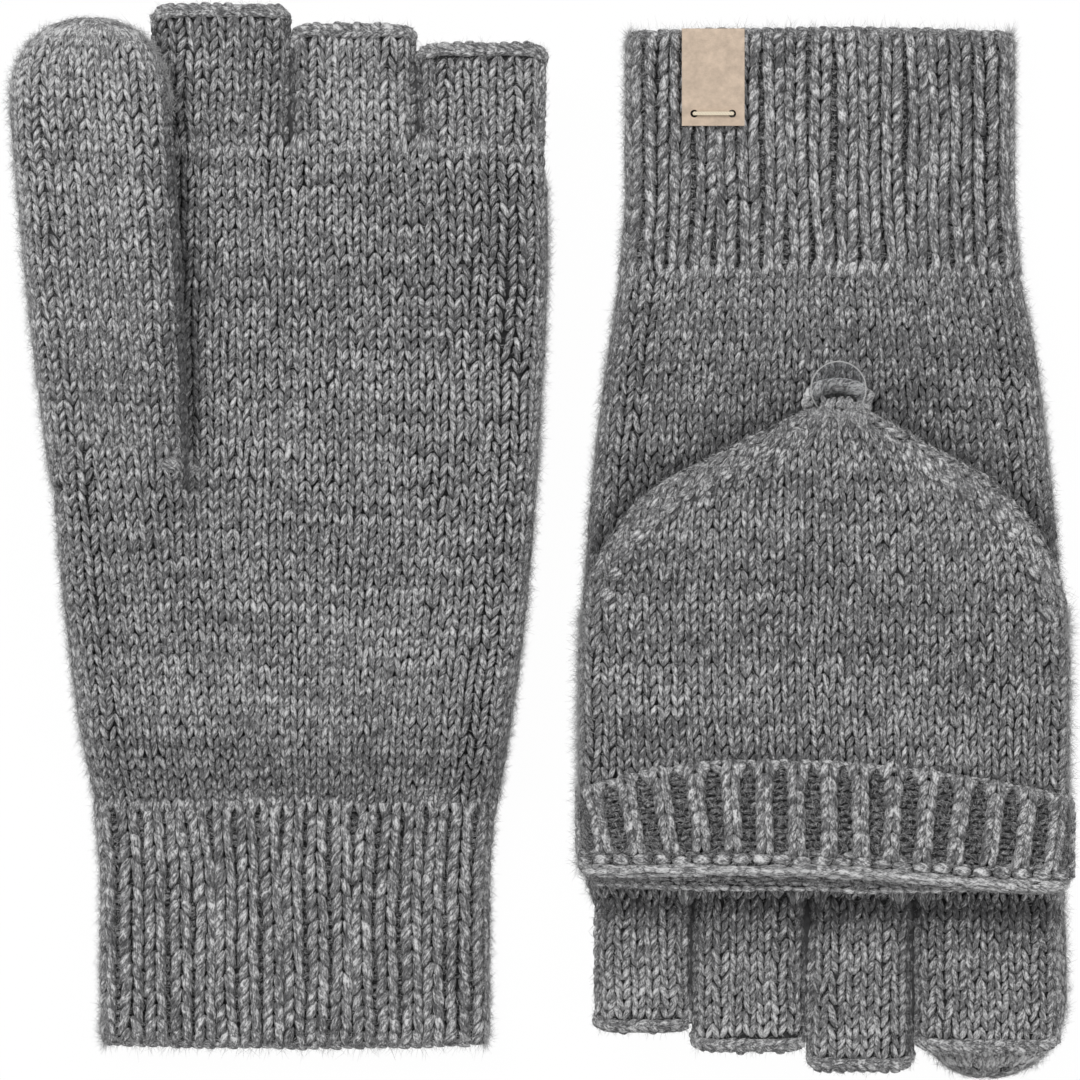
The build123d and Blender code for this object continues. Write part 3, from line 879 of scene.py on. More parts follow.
class HoodShape:
    """The flip-over hood: two layers that meet in a rolled edge."""

    paths_a_column = 4

    def __init__(self, side, settings):
        low, high = own_box(side, "hood_palm")
        self.settings = settings
        self.half = (high[0] - low[0]) / 2
        self.mouth = high[1]
        self.middle = low[2]
        self.depth = high[2] - low[2]
        self.columns = settings.columns
        self.row = settings.row_pitch
        self.apex = (-3.3, -113.0)
        self.dome_start = -54.0
        shoulder, shoulder_radius, tip_radius = -83.8, 43.0, 20.0
        left_side = [(-self.half, self.mouth), (-self.half, shoulder)]
        right_side = [(self.half, shoulder), (self.half, self.mouth)]
        corners = left_side + [self.apex] + right_side
        self.outline = rounded_outline(corners, (shoulder_radius, tip_radius, shoulder_radius))
        self.tip = self.outline[:, 1].min()
        self.rows = int((self.mouth - self.tip) / self.row)
        self.edge = 3.6
        self.flow()

    def edges(self, y):
        """Outer edge of the hood on both sides at y."""
        tip = self.outline[:, 1].argmin()
        left, right = self.outline[: tip + 1], self.outline[tip:]
        return np.interp(y, left[::-1, 1], left[::-1, 0]), np.interp(y, right[:, 1], right[:, 0])

    def flow(self):
        """Paths of the columns: they lean in towards the tip, less than the edge does, so that the edge ends them."""
        self.u_table = np.linspace(0, self.columns, self.columns * self.paths_a_column + 1)
        self.y_table = np.arange(self.mouth, self.tip - 3, -OUTLINE_STEP)
        here, _ = flat_oval(self.u_table / self.columns, self.half - 0.5, 1.0, self.edge)
        paths = [here]
        for y in self.y_table[1:]:
            left, right = self.edges(y)
            left_before, right_before = self.edges(y + OUTLINE_STEP)
            from_left = np.clip(0.36 * (left - left_before), 0, 0.27) * (1 - smooth(0, 30.0, here - left))
            from_right = np.clip(0.36 * (right - right_before), -0.27, 0) * (1 - smooth(0, 30.0, right - here))
            here = here + (from_left + from_right)
            paths.append(here)
        self.paths = np.array(paths)

    def column_x(self, u, y):
        """Place across the hood of column u at y, between the worked-out paths."""
        at_u = np.clip(u * self.paths_a_column, 0, len(self.u_table) - 1.001)
        at_y = np.clip((self.mouth - y) / OUTLINE_STEP, 0, len(self.y_table) - 1.001)
        u0, y0 = at_u.astype(int), at_y.astype(int)
        fu, fy = at_u - u0, at_y - y0
        first = self.paths[y0, u0] * (1 - fu) + self.paths[y0, u0 + 1] * fu
        second = self.paths[y0 + 1, u0] * (1 - fu) + self.paths[y0 + 1, u0 + 1] * fu
        return first * (1 - fy) + second * fy

    def coordinates(self, x, y):
        """Column and row of a place on the hood."""
        line = int(np.clip((self.mouth - y) / OUTLINE_STEP, 0, len(self.y_table) - 1))
        return np.interp(x, self.paths[line], self.u_table), (self.mouth - y) / self.row

    def from_edge(self, x, y):
        """Distance to the nearer edge, allowing for how steeply that edge runs."""
        ahead = 0.6
        left, right = self.edges(y)
        left_on, right_on = self.edges(y - ahead)
        near_left = (x - left) < (right - x)
        slope = np.where(near_left, (left_on - left) / ahead, (right - right_on) / ahead)
        gap = np.where(near_left, x - left, right - x)
        return gap / np.sqrt(1 + slope**2)

    def face(self, upper):
        inset = self.settings.inset

        def point(u, v):
            u, v = floats(u, v)
            y = self.mouth - v * self.row
            left, right = self.edges(y)
            x = np.clip(self.column_x(u, y), left + 0.3, right - 0.3)
            share = np.clip(self.from_edge(x, y) / self.edge, 0, 1)
            height = (self.depth - inset) * np.sqrt(1 - (1 - share) ** 2)
            soft = 0.4 * wander(x * 0.045, y * 0.045, 31 + upper) * share
            return solid(x, y, self.middle + (height + soft if upper else -height - soft))

        return with_normals(point, -1 if upper else 1)

    def keep(self, gap):
        """A test for stitches that lie inside the dome's edge by at least the gap."""

        def there(u, v):
            y = self.mouth - v * self.row
            x = self.column_x(u, y)
            left, right = self.edges(y)
            inside = (x > left) & (x < right)
            straight = y > self.dome_start - 1.0
            return inside & ((self.from_edge(x, y) > gap) | straight) & (y > self.tip + 1.0)

        return there

    def rim(self):
        """Rolled edge round the dome: u 0 to 3 goes round the edge, v along it in rows."""
        dome = self.outline[self.outline[:, 1] < self.dome_start]
        marks = np.arange(len(dome))
        row_pitch = 2.6
        rows = int(len(dome) * OUTLINE_STEP / row_pitch)
        inset = self.settings.inset

        def point(u, v):
            u, v = floats(u, v)
            at = v / rows * (len(dome) - 1)
            along = unit(points_at(at + 0.5, marks, dome) - points_at(at - 0.5, marks, dome))
            inward = np.stack((-along[..., 1], along[..., 0]), axis=-1)
            turn = (u / 3 - 0.5) * np.pi * 1.15
            reach = self.edge - inset * 0.5
            flat = points_at(at, marks, dome) + inward * (self.edge - reach * np.cos(turn))[..., None]
            z = self.middle + (self.depth - inset * 0.8) * np.sin(turn)
            return np.concatenate((flat, z[..., None]), axis=-1)

        return with_normals(point, 1), rows


class BandShape:
    """The turned-up ribbed band: ribs that lean apart towards its upper edge, over a fold."""

    def __init__(self, side):
        self.ribs = 17
        self.pitch = 7.26
        self.first = -62.4
        self.level = own_box(side, "hood_band")[1][2]

    def wrapped(self, x):
        """Place across and drop of the band where it goes round the hood's sides."""
        limit, bend = np.where(x > 0, 50.9, 51.4), 5.0
        over = np.clip((np.abs(x) - limit) / bend, 0, 1.75)
        return np.sign(x) * (np.minimum(np.abs(x), limit) + bend * np.sin(over)), bend * (1 - np.cos(over))

    def fold_line(self, x):
        return -7.7 + 3.4 * (1 - smooth(-50.0, 8.0, x))

    def top_line(self, x):
        away = x - 16.0
        return -28.6 + np.where(away > 0, 0.0041, 0.0016) * away**2

    def face(self):
        """The ribs: v is 0 at the fold and 1 at the upper edge."""

        def point(u, v):
            u, v = floats(u, v)
            x = self.first + self.pitch * u
            x, drop = self.wrapped(x + (3.4 * smooth(10.0, 42.0, x) - 2.3 * smooth(-5.0, -38.0, x)) * v)
            y = self.fold_line(x) + (self.top_line(x) - self.fold_line(x)) * v
            curl = 1.3 * smooth(0.86, 1.05, v) + 0.4 * smooth(0.12, 0.0, v)
            return solid(x, y, self.level - 0.35 - drop - curl + 0.25 * wander(x * 0.1, y * 0.1, 41))

        return with_normals(point, -1)

    def turn(self):
        """The fold below the ribs: w goes from the ribs to the knuckles, in millimetres."""

        def point(u, w):
            u, w = floats(u, w)
            x, drop = self.wrapped(self.first + self.pitch * u)
            lip = 1 - 0.95 * smooth(-6.0, -38.0, x) - 0.35 * smooth(30.0, 52.0, x)
            y = self.fold_line(x) + np.minimum(w, 5.0) + np.maximum(w - 5.0, 0) * lip
            x = x - np.sign(x) * 3.4 * smooth(1.5, 8.0, w) * smooth(42.0, 56.0, np.abs(x))
            z = self.level - 0.75 + 0.9 * smooth(0.0, 3.5, w) - 2.3 * smooth(4.3, 6.0, w)
            return solid(x, y, z - 0.7 * smooth(6.5, 8.5, w) - drop)

        return with_normals(point, 1)


# ---------------------------------------------------------------- materials


def set_inputs(node, values):
    for name, value in values.items():
        node.inputs[name].default_value = value


def tinted(colour, share=1.0):
    """A colour times a share, with its alpha."""
    return (*[min(1.0, share * part) for part in colour], 1)


class Finish:
    """A new material, with helpers that add nodes to it and wire them to its shader."""

    def __init__(self, name, values):
        self.material = bpy.data.materials.new(name)
        self.material.use_nodes = True
        self.nodes, self.links = self.material.node_tree.nodes, self.material.node_tree.links
        self.shader = self.nodes["Principled BSDF"]
        set_inputs(self.shader, values)

    def new(self, kind, values):
        node = self.nodes.new(kind)
        set_inputs(node, values)
        return node

    def math(self, operation, *values):
        """Result of a Math node: numbers are set on its sockets, and outputs are linked."""
        node = self.nodes.new("ShaderNodeMath")
        node.operation = operation
        for socket, value in zip(node.inputs, values):
            if isinstance(value, (int, float)):
                socket.default_value = value
            else:
                self.links.new(value, socket)
        return node.outputs[0]

    def strand_noise(self, around, along, twist, roughness):
        """Noise that follows the twist of the yarn: around and along are how many spots fit on one length."""
        strand = self.nodes.new("ShaderNodeUVMap")
        strand.uv_map = "Strand"
        parts = self.nodes.new("ShaderNodeSeparateXYZ")
        self.links.new(strand.outputs["UV"], parts.inputs[0])
        sheared = self.math("MULTIPLY_ADD", parts.outputs["Y"], twist, parts.outputs["X"])
        place = self.nodes.new("ShaderNodeCombineXYZ")
        self.links.new(self.math("MULTIPLY", sheared, around), place.inputs["X"])
        self.links.new(self.math("MULTIPLY", parts.outputs["Y"], along), place.inputs["Y"])
        noise = self.new("ShaderNodeTexNoise", {"Scale": 1.0, "Detail": 2.0, "Roughness": roughness})
        self.links.new(place.outputs[0], noise.inputs["Vector"])
        return noise.outputs["Fac"]

    def texture(self, kind, values):
        """A texture that is fixed to the object's own coordinates, in metres."""
        place = self.nodes.new("ShaderNodeTexCoord")
        texture = self.new(kind, values)
        self.links.new(place.outputs["Object"], texture.inputs["Vector"])
        return texture

    def colours(self, share, *stops):
        """Base colour that runs through stops of (position, colour)."""
        ramp = self.nodes.new("ShaderNodeValToRGB")
        elements = ramp.color_ramp.elements
        for element, (position, colour) in zip((elements[0], elements[1]), (stops[0], stops[-1])):
            element.position = position
            element.color = colour
        for position, colour in stops[1:-1]:
            elements.new(position).color = colour
        self.links.new(share, ramp.inputs["Fac"])
        self.links.new(ramp.outputs["Color"], self.shader.inputs["Base Color"])

    def bump(self, height, strength, distance):
        """Relief of the surface, with its distance in metres."""
        bump = self.new("ShaderNodeBump", {"Strength": strength, "Distance": distance})
        self.links.new(height, bump.inputs["Height"])
        self.links.new(bump.outputs["Normal"], self.shader.inputs["Normal"])

    def roughness(self, share, spread, least):
        """Roughness that varies with a texture, from the least one up."""
        self.links.new(self.math("MULTIPLY_ADD", share, spread, least), self.shader.inputs["Roughness"])


def wool_material(name, settings):
    """Wool yarn: plies and fibres twisted along each length of yarn, mottled from stitch to stitch."""
    wool = Finish(name, {"Roughness": 0.85, "Specular IOR Level": 0.2, "Sheen Weight": 0.12, "Sheen Roughness": 0.5})
    tone = wool.nodes.new("ShaderNodeAttribute")
    tone.attribute_name = "tone"
    plies = wool.strand_noise(around=7.0, along=1.7, twist=settings.twist, roughness=0.55)
    fibres = wool.strand_noise(around=20.0, along=5.6, twist=settings.twist, roughness=0.75)
    stray = wool.strand_noise(around=14.0, along=4.0, twist=-0.5, roughness=0.65)
    blotch = wool.strand_noise(around=3.0, along=1.5, twist=settings.twist, roughness=0.6)
    shade = wool.math("MULTIPLY_ADD", tone.outputs["Fac"], 0.6, -1.74)
    for noise, strength in ((plies, 1.2), (fibres, 1.3), (stray, 0.9), (blotch, 0.4)):
        shade = wool.math("MULTIPLY_ADD", noise, strength, shade)
    wool.colours(shade, (0.18, tinted(settings.dark)), (0.5, tinted(settings.middle)), (0.79, tinted(settings.light)))
    wool.bump(wool.math("ADD", plies, stray), strength=0.9, distance=0.0005)
    return wool.material


def ground_material(name, settings):
    """Near-black cloth under the stitches and on the lining side: painted shade for the yarn deep between the
    stitches.
    """
    ground = Finish(name, {"Roughness": 0.95, "Specular IOR Level": 0.1})
    noise = ground.texture("ShaderNodeTexNoise", {"Scale": 900.0, "Detail": 3.0})
    ground.colours(noise.outputs["Fac"], (0.0, tinted(settings.ground, 0.5)), (1.0, tinted(settings.ground, 1.9)))
    return ground.material


def fibre_material(name, settings):
    """Single loose fibres, lighter than the yarn because light passes through them."""
    mixed = [0.35 * grey + 0.65 * pale for grey, pale in zip(settings.middle, settings.light)]
    return Finish(name, {"Base Color": (*mixed, 1), "Roughness": 0.7, "Specular IOR Level": 0.2}).material


def clear_plastic(name, settings):
    """Clear plastic of a button, faintly clouded, with fine scratches that soften what shows through."""
    plastic = Finish(name, {"Base Color": tinted(settings.plastic), "Transmission Weight": 1.0, "IOR": 1.32})
    scratches = plastic.texture("ShaderNodeTexNoise", {"Scale": 700.0})
    plastic.roughness(scratches.outputs["Fac"], spread=0.08, least=0.05)
    return plastic.material


def edge_highlight_material(name):
    """Grey ring at the edge of clear plastic: a painted highlight where the plastic gathers the light."""
    edge = Finish(name, {"Base Color": (0.42, 0.42, 0.42, 1), "Specular IOR Level": 0.6})
    cloud = edge.texture("ShaderNodeTexNoise", {"Scale": 260.0})
    edge.roughness(cloud.outputs["Fac"], spread=0.3, least=0.1)
    return edge.material


def thread_material(name, colour):
    """Sewing thread with a fine diagonal twist."""
    thread = Finish(name, {"Roughness": 0.65})
    turn = thread.texture("ShaderNodeMapping", {"Rotation": (0.4, 0.7, 0.6)})
    wave = thread.new("ShaderNodeTexWave", {"Scale": 1400.0, "Distortion": 2.0})
    thread.links.new(turn.outputs["Vector"], wave.inputs["Vector"])
    thread.colours(wave.outputs["Fac"], (0.0, tinted(colour, 0.55)), (1.0, tinted(colour, 1.15)))
    return thread.material


def leather_material(name, settings):
    """Pale undyed leather: fine pores, soft clouds of tone and a matt finish."""
    leather = Finish(name, {"Roughness": 0.62, "Specular IOR Level": 0.35})
    pores = leather.texture("ShaderNodeTexVoronoi", {"Scale": 2600.0}).outputs["Distance"]
    cloudy = {"Scale": 420.0, "Detail": 6.0, "Roughness": 0.65}
    clouds = leather.texture("ShaderNodeTexNoise", cloudy).outputs["Fac"]
    leather.colours(clouds, (0.3, tinted(settings.leather, 0.78)), (0.7, tinted(settings.leather, 1.14)))
    leather.bump(leather.math("ADD", pores, clouds), strength=0.35, distance=0.0002)
    return leather.material


def dress(node, made):
    """Gives a shown CAD piece its finish."""
    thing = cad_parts[node]
    for slot in thing.material_slots:
        slot.material = made


MATERIALS = {}


def shared_materials(scene):
    """The materials that all knitted pieces share, made once."""
    if not MATERIALS:
        wool = scene.flip_top_mittens.wool
        MATERIALS["wool"] = wool_material("grey_wool_yarn", wool)
        MATERIALS["ground"] = ground_material("shaded_wool", wool)
    return [MATERIALS["wool"], MATERIALS["ground"]]


def finish_piece(cloth, side, name, body, nodes):
    thing = cloth.build(side, f"{side}_{name}", shared_materials(bpy.context.scene))
    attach(thing, body)
    if nodes:
        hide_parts(*[f"{side}_{node}" for node in nodes])
    return thing


# ---------------------------------------------------------------- operators, one for each kind of piece


class MITTENS_OT_hands(Operator):
    """Knits both hand tubes, with the swelling of the thumb's root in the palm"""

    bl_idname = "mittens.hands"
    bl_label = "Knit Hands"

    def execute(self, context):
        settings = context.scene.flip_top_mittens.knit
        for number, side in enumerate(SIDES):
            hand, thumb = HandShape(side, settings), ThumbShape(side, settings)
            back, palm = hand.face(True), hand.face(False)
            top, bottom, ground = Cloth(), Cloth(), Cloth()
            dome = HoodShape(side, settings).outline[::2]

            # Painted shadow: stitches of the back darken close outside the hood's dome outline, where the hood shades
            # them. The dark arc stays when the hood is turned back.
            def painted_hood_shadow(u, v):
                here = back(u, v)[0][:, :2]
                gap = np.sqrt(((here[:, None] - dome[None]) ** 2).sum(-1)).min(1)
                return 0.45 - 0.42 * np.exp(-gap / 3.4)

            # Painted shade: the palm darkens along the thumb's inner edge, in the crease between thumb and palm.
            def thumb_crease_shade(u, v):
                x, y = palm(u, v)[0][:, :2].T
                edge = thumb.middle_line(y) + thumb.half_width(y)
                return 0.5 - 0.40 * np.exp(-np.clip(x - edge, 0, None) / 2.2) * smooth(-62.0, -55.0, y)

            plain_knit(top, back, hand.columns, hand.rows, settings, seed=100 + number, shade=painted_hood_shadow)
            plain_knit(
                bottom, palm, hand.columns, hand.palm_rows, settings, seed=110 + number, shade=thumb_crease_shade
            )
            self.pucker(bottom, hand, palm, 140 + number)
            self.crotches(top, hand, back, hand.roots, shade=0.40, seed=120 + number)
            self.crotches(bottom, hand, palm, hand.web, shade=0.66, seed=130 + number)
            ground_tube(ground, (back, palm), hand.columns, hand.rows, level=0.75, thickness=0.9)
            finish_piece(top, side, "hand_back", body_of(side), ["hand_tube"])
            finish_piece(bottom, side, "hand_palm", body_of(side), ["hand_tube"])
            finish_piece(ground, side, "hand_ground", body_of(side), ["hand_tube"])
        return {"FINISHED"}

    def pucker(self, cloth, hand, surface, seed):
        """Stitches drawn together where the thumb parts from the palm, in rays at the given angles in degrees."""
        dice = np.random.default_rng(seed)
        centre = np.array((-24.6, -65.2)) + (2.0 if hand.side == "right" else 0.0, 0.0)
        grids = np.meshgrid(np.linspace(0, hand.columns, 240), np.linspace(16, hand.rows, 160), indexing="ij")
        u, v = (grid.ravel() for grid in grids)
        plan = surface(u, v)[0][:, :2]
        for turn in (22, 40, 58, 76, 112, 128, 143, 157):
            way = np.array((math.cos(math.radians(turn)), math.sin(math.radians(turn))))
            ends = []
            for reach in (0.4, 5.6 + dice.normal(0, 0.7)):
                near = ((plan - (centre + reach * way)) ** 2).sum(1).argmin()
                ends.append(np.array(((u[near], v[near]),)))
            tone = 0.56 + dice.normal(0, 0.05)
            lay_yarn(cloth, surface, *ends, rise=0.35, sink=0.3, width=0.95, depth=0.9, tone=tone, seed=seed + turn)

    def crotches(self, cloth, hand, surface, y, shade, seed):
        """Slanted picked-up stitches at the roots between the fingers."""
        dice = np.random.default_rng(seed)
        row = (y - hand.wrist) / hand.row
        aside = np.array((-1.3, -0.55, 0.1, 0.75, 1.4))
        count = len(aside)
        for finger in FINGERS[:-1]:
            x = own_box(hand.side, f"{finger}_finger")[1][0] + 0.2
            u = hand.columns * (0.5 + 0.5 * x / (hand.widest + 1.5))
            start = spots(u + aside, row - 1.8 + dice.normal(0, 0.2, count))
            end = spots(u + aside * 0.35 + 0.5 * np.sign(aside), row + 0.7 + dice.normal(0, 0.2, count))
            tone = shade + dice.normal(0, 0.06, count)
            lay_yarn(cloth, surface, start, end, rise=0.5, sink=0.4, width=0.85, depth=0.75, tone=tone, seed=seed)


class MITTENS_OT_fingers(Operator):
    """Knits the half fingers with their bound-off rims"""

    bl_idname = "mittens.fingers"
    bl_label = "Knit Half Fingers"

    def execute(self, context):
        settings = context.scene.flip_top_mittens.knit
        for number, side in enumerate(SIDES):
            hand = HandShape(side, settings)
            for place, name in enumerate(FINGERS):
                finger = FingerShape(side, name, hand, settings)
                back, palm = finger.face(True), finger.face(False)
                cloth = Cloth()
                seed = 200 + 20 * number + place

                # Painted shade: each finger darkens at its root, where the band's fold shades it, and along the sides
                # next to a neighbouring finger, more on one side of each slot.
                def painted_shade(u, v):
                    aside = 2 * u / finger.columns - 1
                    slot = 0.40 * smooth(-0.55, -1.0, aside) * (name != "index")
                    slot = slot + 0.22 * smooth(0.75, 1.0, aside) * (name != "little")
                    return 0.60 - 0.40 * np.exp(-np.clip(v * finger.row - 3.0, 0, None) / 4.0) - slot

                # The palm side keeps only the painted shade beside the slots, a little darker.
                def palm_shaded(u, v):
                    return painted_shade(u, v + 40.0) - 0.04

                def above_web(u, v):
                    return finger.root + v * finger.row > hand.web - 2.7

                columns, rows = finger.columns, finger.rows
                plain_knit(cloth, back, columns, rows, settings, seed=seed, scale=1.06, shade=painted_shade)
                plain_knit(
                    cloth, palm, columns, rows, settings, seed=seed + 8, keep=above_web, scale=1.06,
                    shade=palm_shaded,
                )
                ground_tube(cloth, (back, palm), columns, rows + 1.0, level=0.5, thickness=1.0)
                self.bind_off(cloth, finger, (back, palm), seed)
                if name != "little":
                    neighbour_end = own_box(side, f"{FINGERS[place + 1]}_finger")[1][1]
                    self.dark_gap_strip(cloth, finger, min(finger.high[1], neighbour_end), hand.middle)
                thing = finish_piece(cloth, side, f"{name}_knit", body_of(side), [f"{name}_finger"])
                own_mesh(thing)
        return {"FINISHED"}

    def dark_gap_strip(self, cloth, finger, shorter, level):
        """Strip of dark ground cloth deep between two fingers, up to near the end of the shorter one: painted shade
        that fills the gap.
        """
        half_width, half_thickness = 2.2, 0.8
        across = np.linspace(-half_width, half_width, 4)
        across, along = np.meshgrid(across, np.linspace(finger.root - 2.0, shorter - 3.5, 8))
        strip = solid(finger.high[0] + across, along, level)
        wall(cloth, strip + (0, 0, half_thickness), strip - (0, 0, half_thickness))

    def bind_off(self, cloth, finger, faces, seed):
        """Chain of slanted stitches round the open end, over two lengths of yarn that run round it."""
        dice = np.random.default_rng(seed)
        for row, level in ((0.55, -0.1), (0.95, -0.7)):
            edge = side_loop(faces, finger.columns, finger.rows + row, 40, level)
            lay_cord(cloth, np.vstack((edge, edge[:2])), radius=1.15, tone=0.52)
        count = int(finger.columns * 1.45)
        pitch = finger.columns / count
        middle = (np.arange(count) + 0.5) * pitch

        def at_rim(height):
            return finger.rows + 0.66 + height + dice.normal(0, 0.14, count)

        for surface in faces:
            for leg, level in ((-1, 0.40), (1, -0.40)):
                start = spots(middle - 0.68 * pitch, at_rim(level * 1.25))
                end = spots(middle + 0.60 * pitch, at_rim(level * 0.1))
                tone = 0.60 + dice.normal(0, 0.09, count)
                thick = 0.78 + dice.normal(0, 0.09, count)
                rise = 0.4 + dice.normal(0, 0.15, count)
                lay_yarn(
                    cloth, surface, start, end, rise=rise, sink=0.5, width=thick, depth=1.0, tone=tone,
                    seed=seed + 3 * leg,
                )
                start = spots(middle - 0.5 * pitch, at_rim(0.55))
                end = spots(middle + 0.5 * pitch, at_rim(0.35))
                lay_yarn(
                    cloth, surface, start, end, rise=-0.6, sink=0.6, width=0.9, depth=0.9, tone=tone,
                    seed=seed + 5 * leg,
                )


class MITTENS_OT_thumbs(Operator):
    """Knits the full thumbs with gathered tips"""

    bl_idname = "mittens.thumbs"
    bl_label = "Knit Thumbs"

    def execute(self, context):
        settings = context.scene.flip_top_mittens.knit
        for number, side in enumerate(SIDES):
            thumb = ThumbShape(side, settings)
            columns, rows = thumb.columns, thumb.rows
            back, palm = thumb.face(True), thumb.face(False)
            cloth, ground = Cloth(), Cloth()

            def before_tip(u, v):
                return v < rows - 0.9

            # Painted light and shade: the thumb is lighter towards its tip, the right thumb's tip more so, and darker
            # along its inner side next to the palm, short of the tip.
            def light(u, v):
                tip = 0.30 * number * smooth(rows - 6.0, rows, v)
                edge = 0.45 * smooth(10.0, 11.6, u) * smooth(rows - 1.0, rows - 7.0, v)
                return 0.50 + 0.13 * smooth(4.0, 24.0, v) + tip - edge

            plain_knit(cloth, back, columns, rows, settings, seed=300 + number, keep=before_tip, shade=light)
            plain_knit(cloth, palm, columns, rows, settings, seed=310 + number, keep=before_tip, shade=light)
            self.gather(cloth, thumb, (back, palm), 320 + number)
            ground_tube(ground, (back, palm), columns, rows - 0.01, level=0.35, thickness=0.6, row_step=0.5)
            finish_piece(cloth, side, "thumb_knit", body_of(side), ["thumb_tube"])
            finish_piece(ground, side, "thumb_ground", body_of(side), ["thumb_tube"])
        return {"FINISHED"}

    def gather(self, cloth, thumb, faces, seed):
        """Drawn-in last stitches, a small pucker at the tip."""
        dice = np.random.default_rng(seed)
        count = 150
        for surface in faces:
            v = thumb.rows + 0.1 - 2.6 * dice.random(count)
            u = dice.uniform(0.3, thumb.columns - 0.3, count)
            left = surface(np.full(count, 1.0), v)[0][:, 0]
            right = surface(np.full(count, thumb.columns - 1.0), v)[0][:, 0]
            across = np.clip((thumb.columns - 2.0) / np.maximum(np.abs(right - left), 2.0), 0, 2.2)
            angle = np.pi / 2 + dice.normal(0, 0.7, count)
            way = spots(np.cos(angle) * across, np.sin(angle) / thumb.row)
            start, end = spots(u, v) - way, spots(u, v) + way
            end[:, 1] = np.minimum(end[:, 1], thumb.rows + 0.25)
            rise = 0.25 + dice.normal(0, 0.12, count)
            bow, tone = dice.normal(0, 0.15, count), 0.62 + dice.normal(0, 0.08, count)
            lay_yarn(
                cloth, surface, start, end, rise=rise, sink=0.35, width=0.62, depth=0.6, bow=bow, tone=tone, seed=seed
            )


class MITTENS_OT_cuffs(Operator):
    """Knits the ribbed cuffs"""

    bl_idname = "mittens.cuffs"
    bl_label = "Knit Cuffs"

    def execute(self, context):
        for number, side in enumerate(SIDES):
            cuff = CuffShape(side)
            cloth, ground = Cloth(), Cloth()
            faces = (cuff.face(True), cuff.face(False))
            for which, surface in enumerate(faces):
                seed = 400 + 10 * number + which
                dice = np.random.default_rng(seed)
                self.ribs(cloth, surface, cuff, dice, seed)
                self.purls(cloth, surface, cuff, dice, seed)
                self.hem(cloth, surface, cuff, dice, seed)
            ground_tube(ground, faces, cuff.ribs, cuff.rows, level=0.75, thickness=0.9, steps=60)
            finish_piece(cloth, side, "cuff_ribs", body_of(side), ["wrist_cuff"])
            finish_piece(ground, side, "cuff_ground", body_of(side), ["wrist_cuff"])
        return {"FINISHED"}

    def ribs(self, cloth, surface, cuff, dice, seed):
        """Ribs of one knit stitch each."""
        rib, row = stitch_places(cuff.ribs, cuff.rows)
        count = len(rib)
        lean = 0.16 * wander(rib * 0.5, row * 0.13, seed) + 0.10 * np.sin(rib * 2.1 + seed) * np.sin(row * 0.2)
        middle = rib + lean * smooth(0, 4, np.minimum(rib, cuff.ribs - rib)) + dice.normal(0, 0.018, count)
        level = row + 0.35 * wander(rib * 0.9, row * 0.15, seed + 1) + dice.normal(0, 0.06, count)
        tight = 1 - 0.16 * smooth(cuff.rows - 4.5, cuff.rows - 1.5, row)
        yarn_tone = 0.5 + 0.07 * wander(rib * 1.3 + row * 31.0, row * 2.0, seed + 2)
        for leg in (-1, 1):
            wide = tight * (0.37 + dice.normal(0, 0.02, count))
            narrow = tight * (0.06 + dice.normal(0, 0.02, count))
            base = np.maximum(level - 0.92 + dice.normal(0, 0.07, count), -0.1)
            top = level + 0.86 + dice.normal(0, 0.07, count)
            start, end = spots(middle + leg * wide, base), spots(middle + leg * narrow, top)
            thick = 1.2 * (1 + dice.normal(0, 0.08, count))
            tone = yarn_tone + dice.normal(0, 0.06, count)
            rise = 0.5 + dice.normal(0, 0.12, count)
            lay_yarn(
                cloth, surface, start, end, rise=rise, sink=0.8, width=thick, depth=1.05, bow=leg * 0.03, tone=tone,
                seed=seed + 5 + leg,
            )
            self.join(cloth, surface, cuff, leg, seed)

    def join(self, cloth, surface, cuff, leg, seed):
        """Long slanted stitches where each rib spreads into two columns of the hand."""
        dice = np.random.default_rng(seed + 40 + leg)
        rib = np.arange(cuff.ribs) + 0.5
        count = len(rib)
        start = spots(rib + leg * 0.16, cuff.rows - 0.9)
        outer = rib + leg * (0.40 + dice.normal(0, 0.04, count))
        end = spots(outer, cuff.rows + 0.75 + dice.normal(0, 0.12, count))
        tone = 0.62 + dice.normal(0, 0.08, count)
        lay_yarn(
            cloth, surface, start, end, rise=1.0, sink=0.4, width=0.95, depth=0.85, tone=tone, seed=seed + 60 + leg
        )

    def purls(self, cloth, surface, cuff, dice, seed):
        """Recesses of purl stitches between the ribs, two short lengths of yarn in each row."""
        steps = cuff.rows * 2
        fine = np.arange(cuff.ribs * steps)
        count = len(fine)
        purl, row = fine // steps + 1.0, fine % steps / 2 + 0.25
        aside = dice.normal(0, 0.06, count)
        start = spots(purl - 0.2 + aside, row + dice.normal(0, 0.20, count))
        end = spots(purl + 0.2 + aside, row + dice.normal(0, 0.20, count))
        near_hand = smooth(cuff.rows - 6.0, cuff.rows - 2.0, row)
        rise = -0.95 + 0.35 * near_hand + dice.normal(0, 0.2, count)
        # Purls are darker than the ribs: painted shade in the recesses between them, darker still near the hand.
        tone = 0.42 - 0.06 * near_hand + dice.normal(0, 0.10, count)
        lay_yarn(cloth, surface, start, end, rise=rise, sink=0.9, width=0.70, depth=0.6, tone=tone, seed=seed + 9)

    def hem(self, cloth, surface, cuff, dice, seed):
        """Cast-on edge: two rows of short stitches that cross."""
        place = np.arange(cuff.ribs * 2) / 2 + 0.25
        count = len(place)
        for low, turn in ((0.05, 0.12), (0.22, -0.12)):
            start = spots(place - 0.33, low + turn + dice.normal(0, 0.05, count))
            end = spots(place + 0.33, low - turn + dice.normal(0, 0.05, count))
            tone = 0.5 + dice.normal(0, 0.06, count)
            lay_yarn(cloth, surface, start, end, rise=-0.1, sink=0.7, width=0.8, depth=0.9, tone=tone, seed=seed + 12)


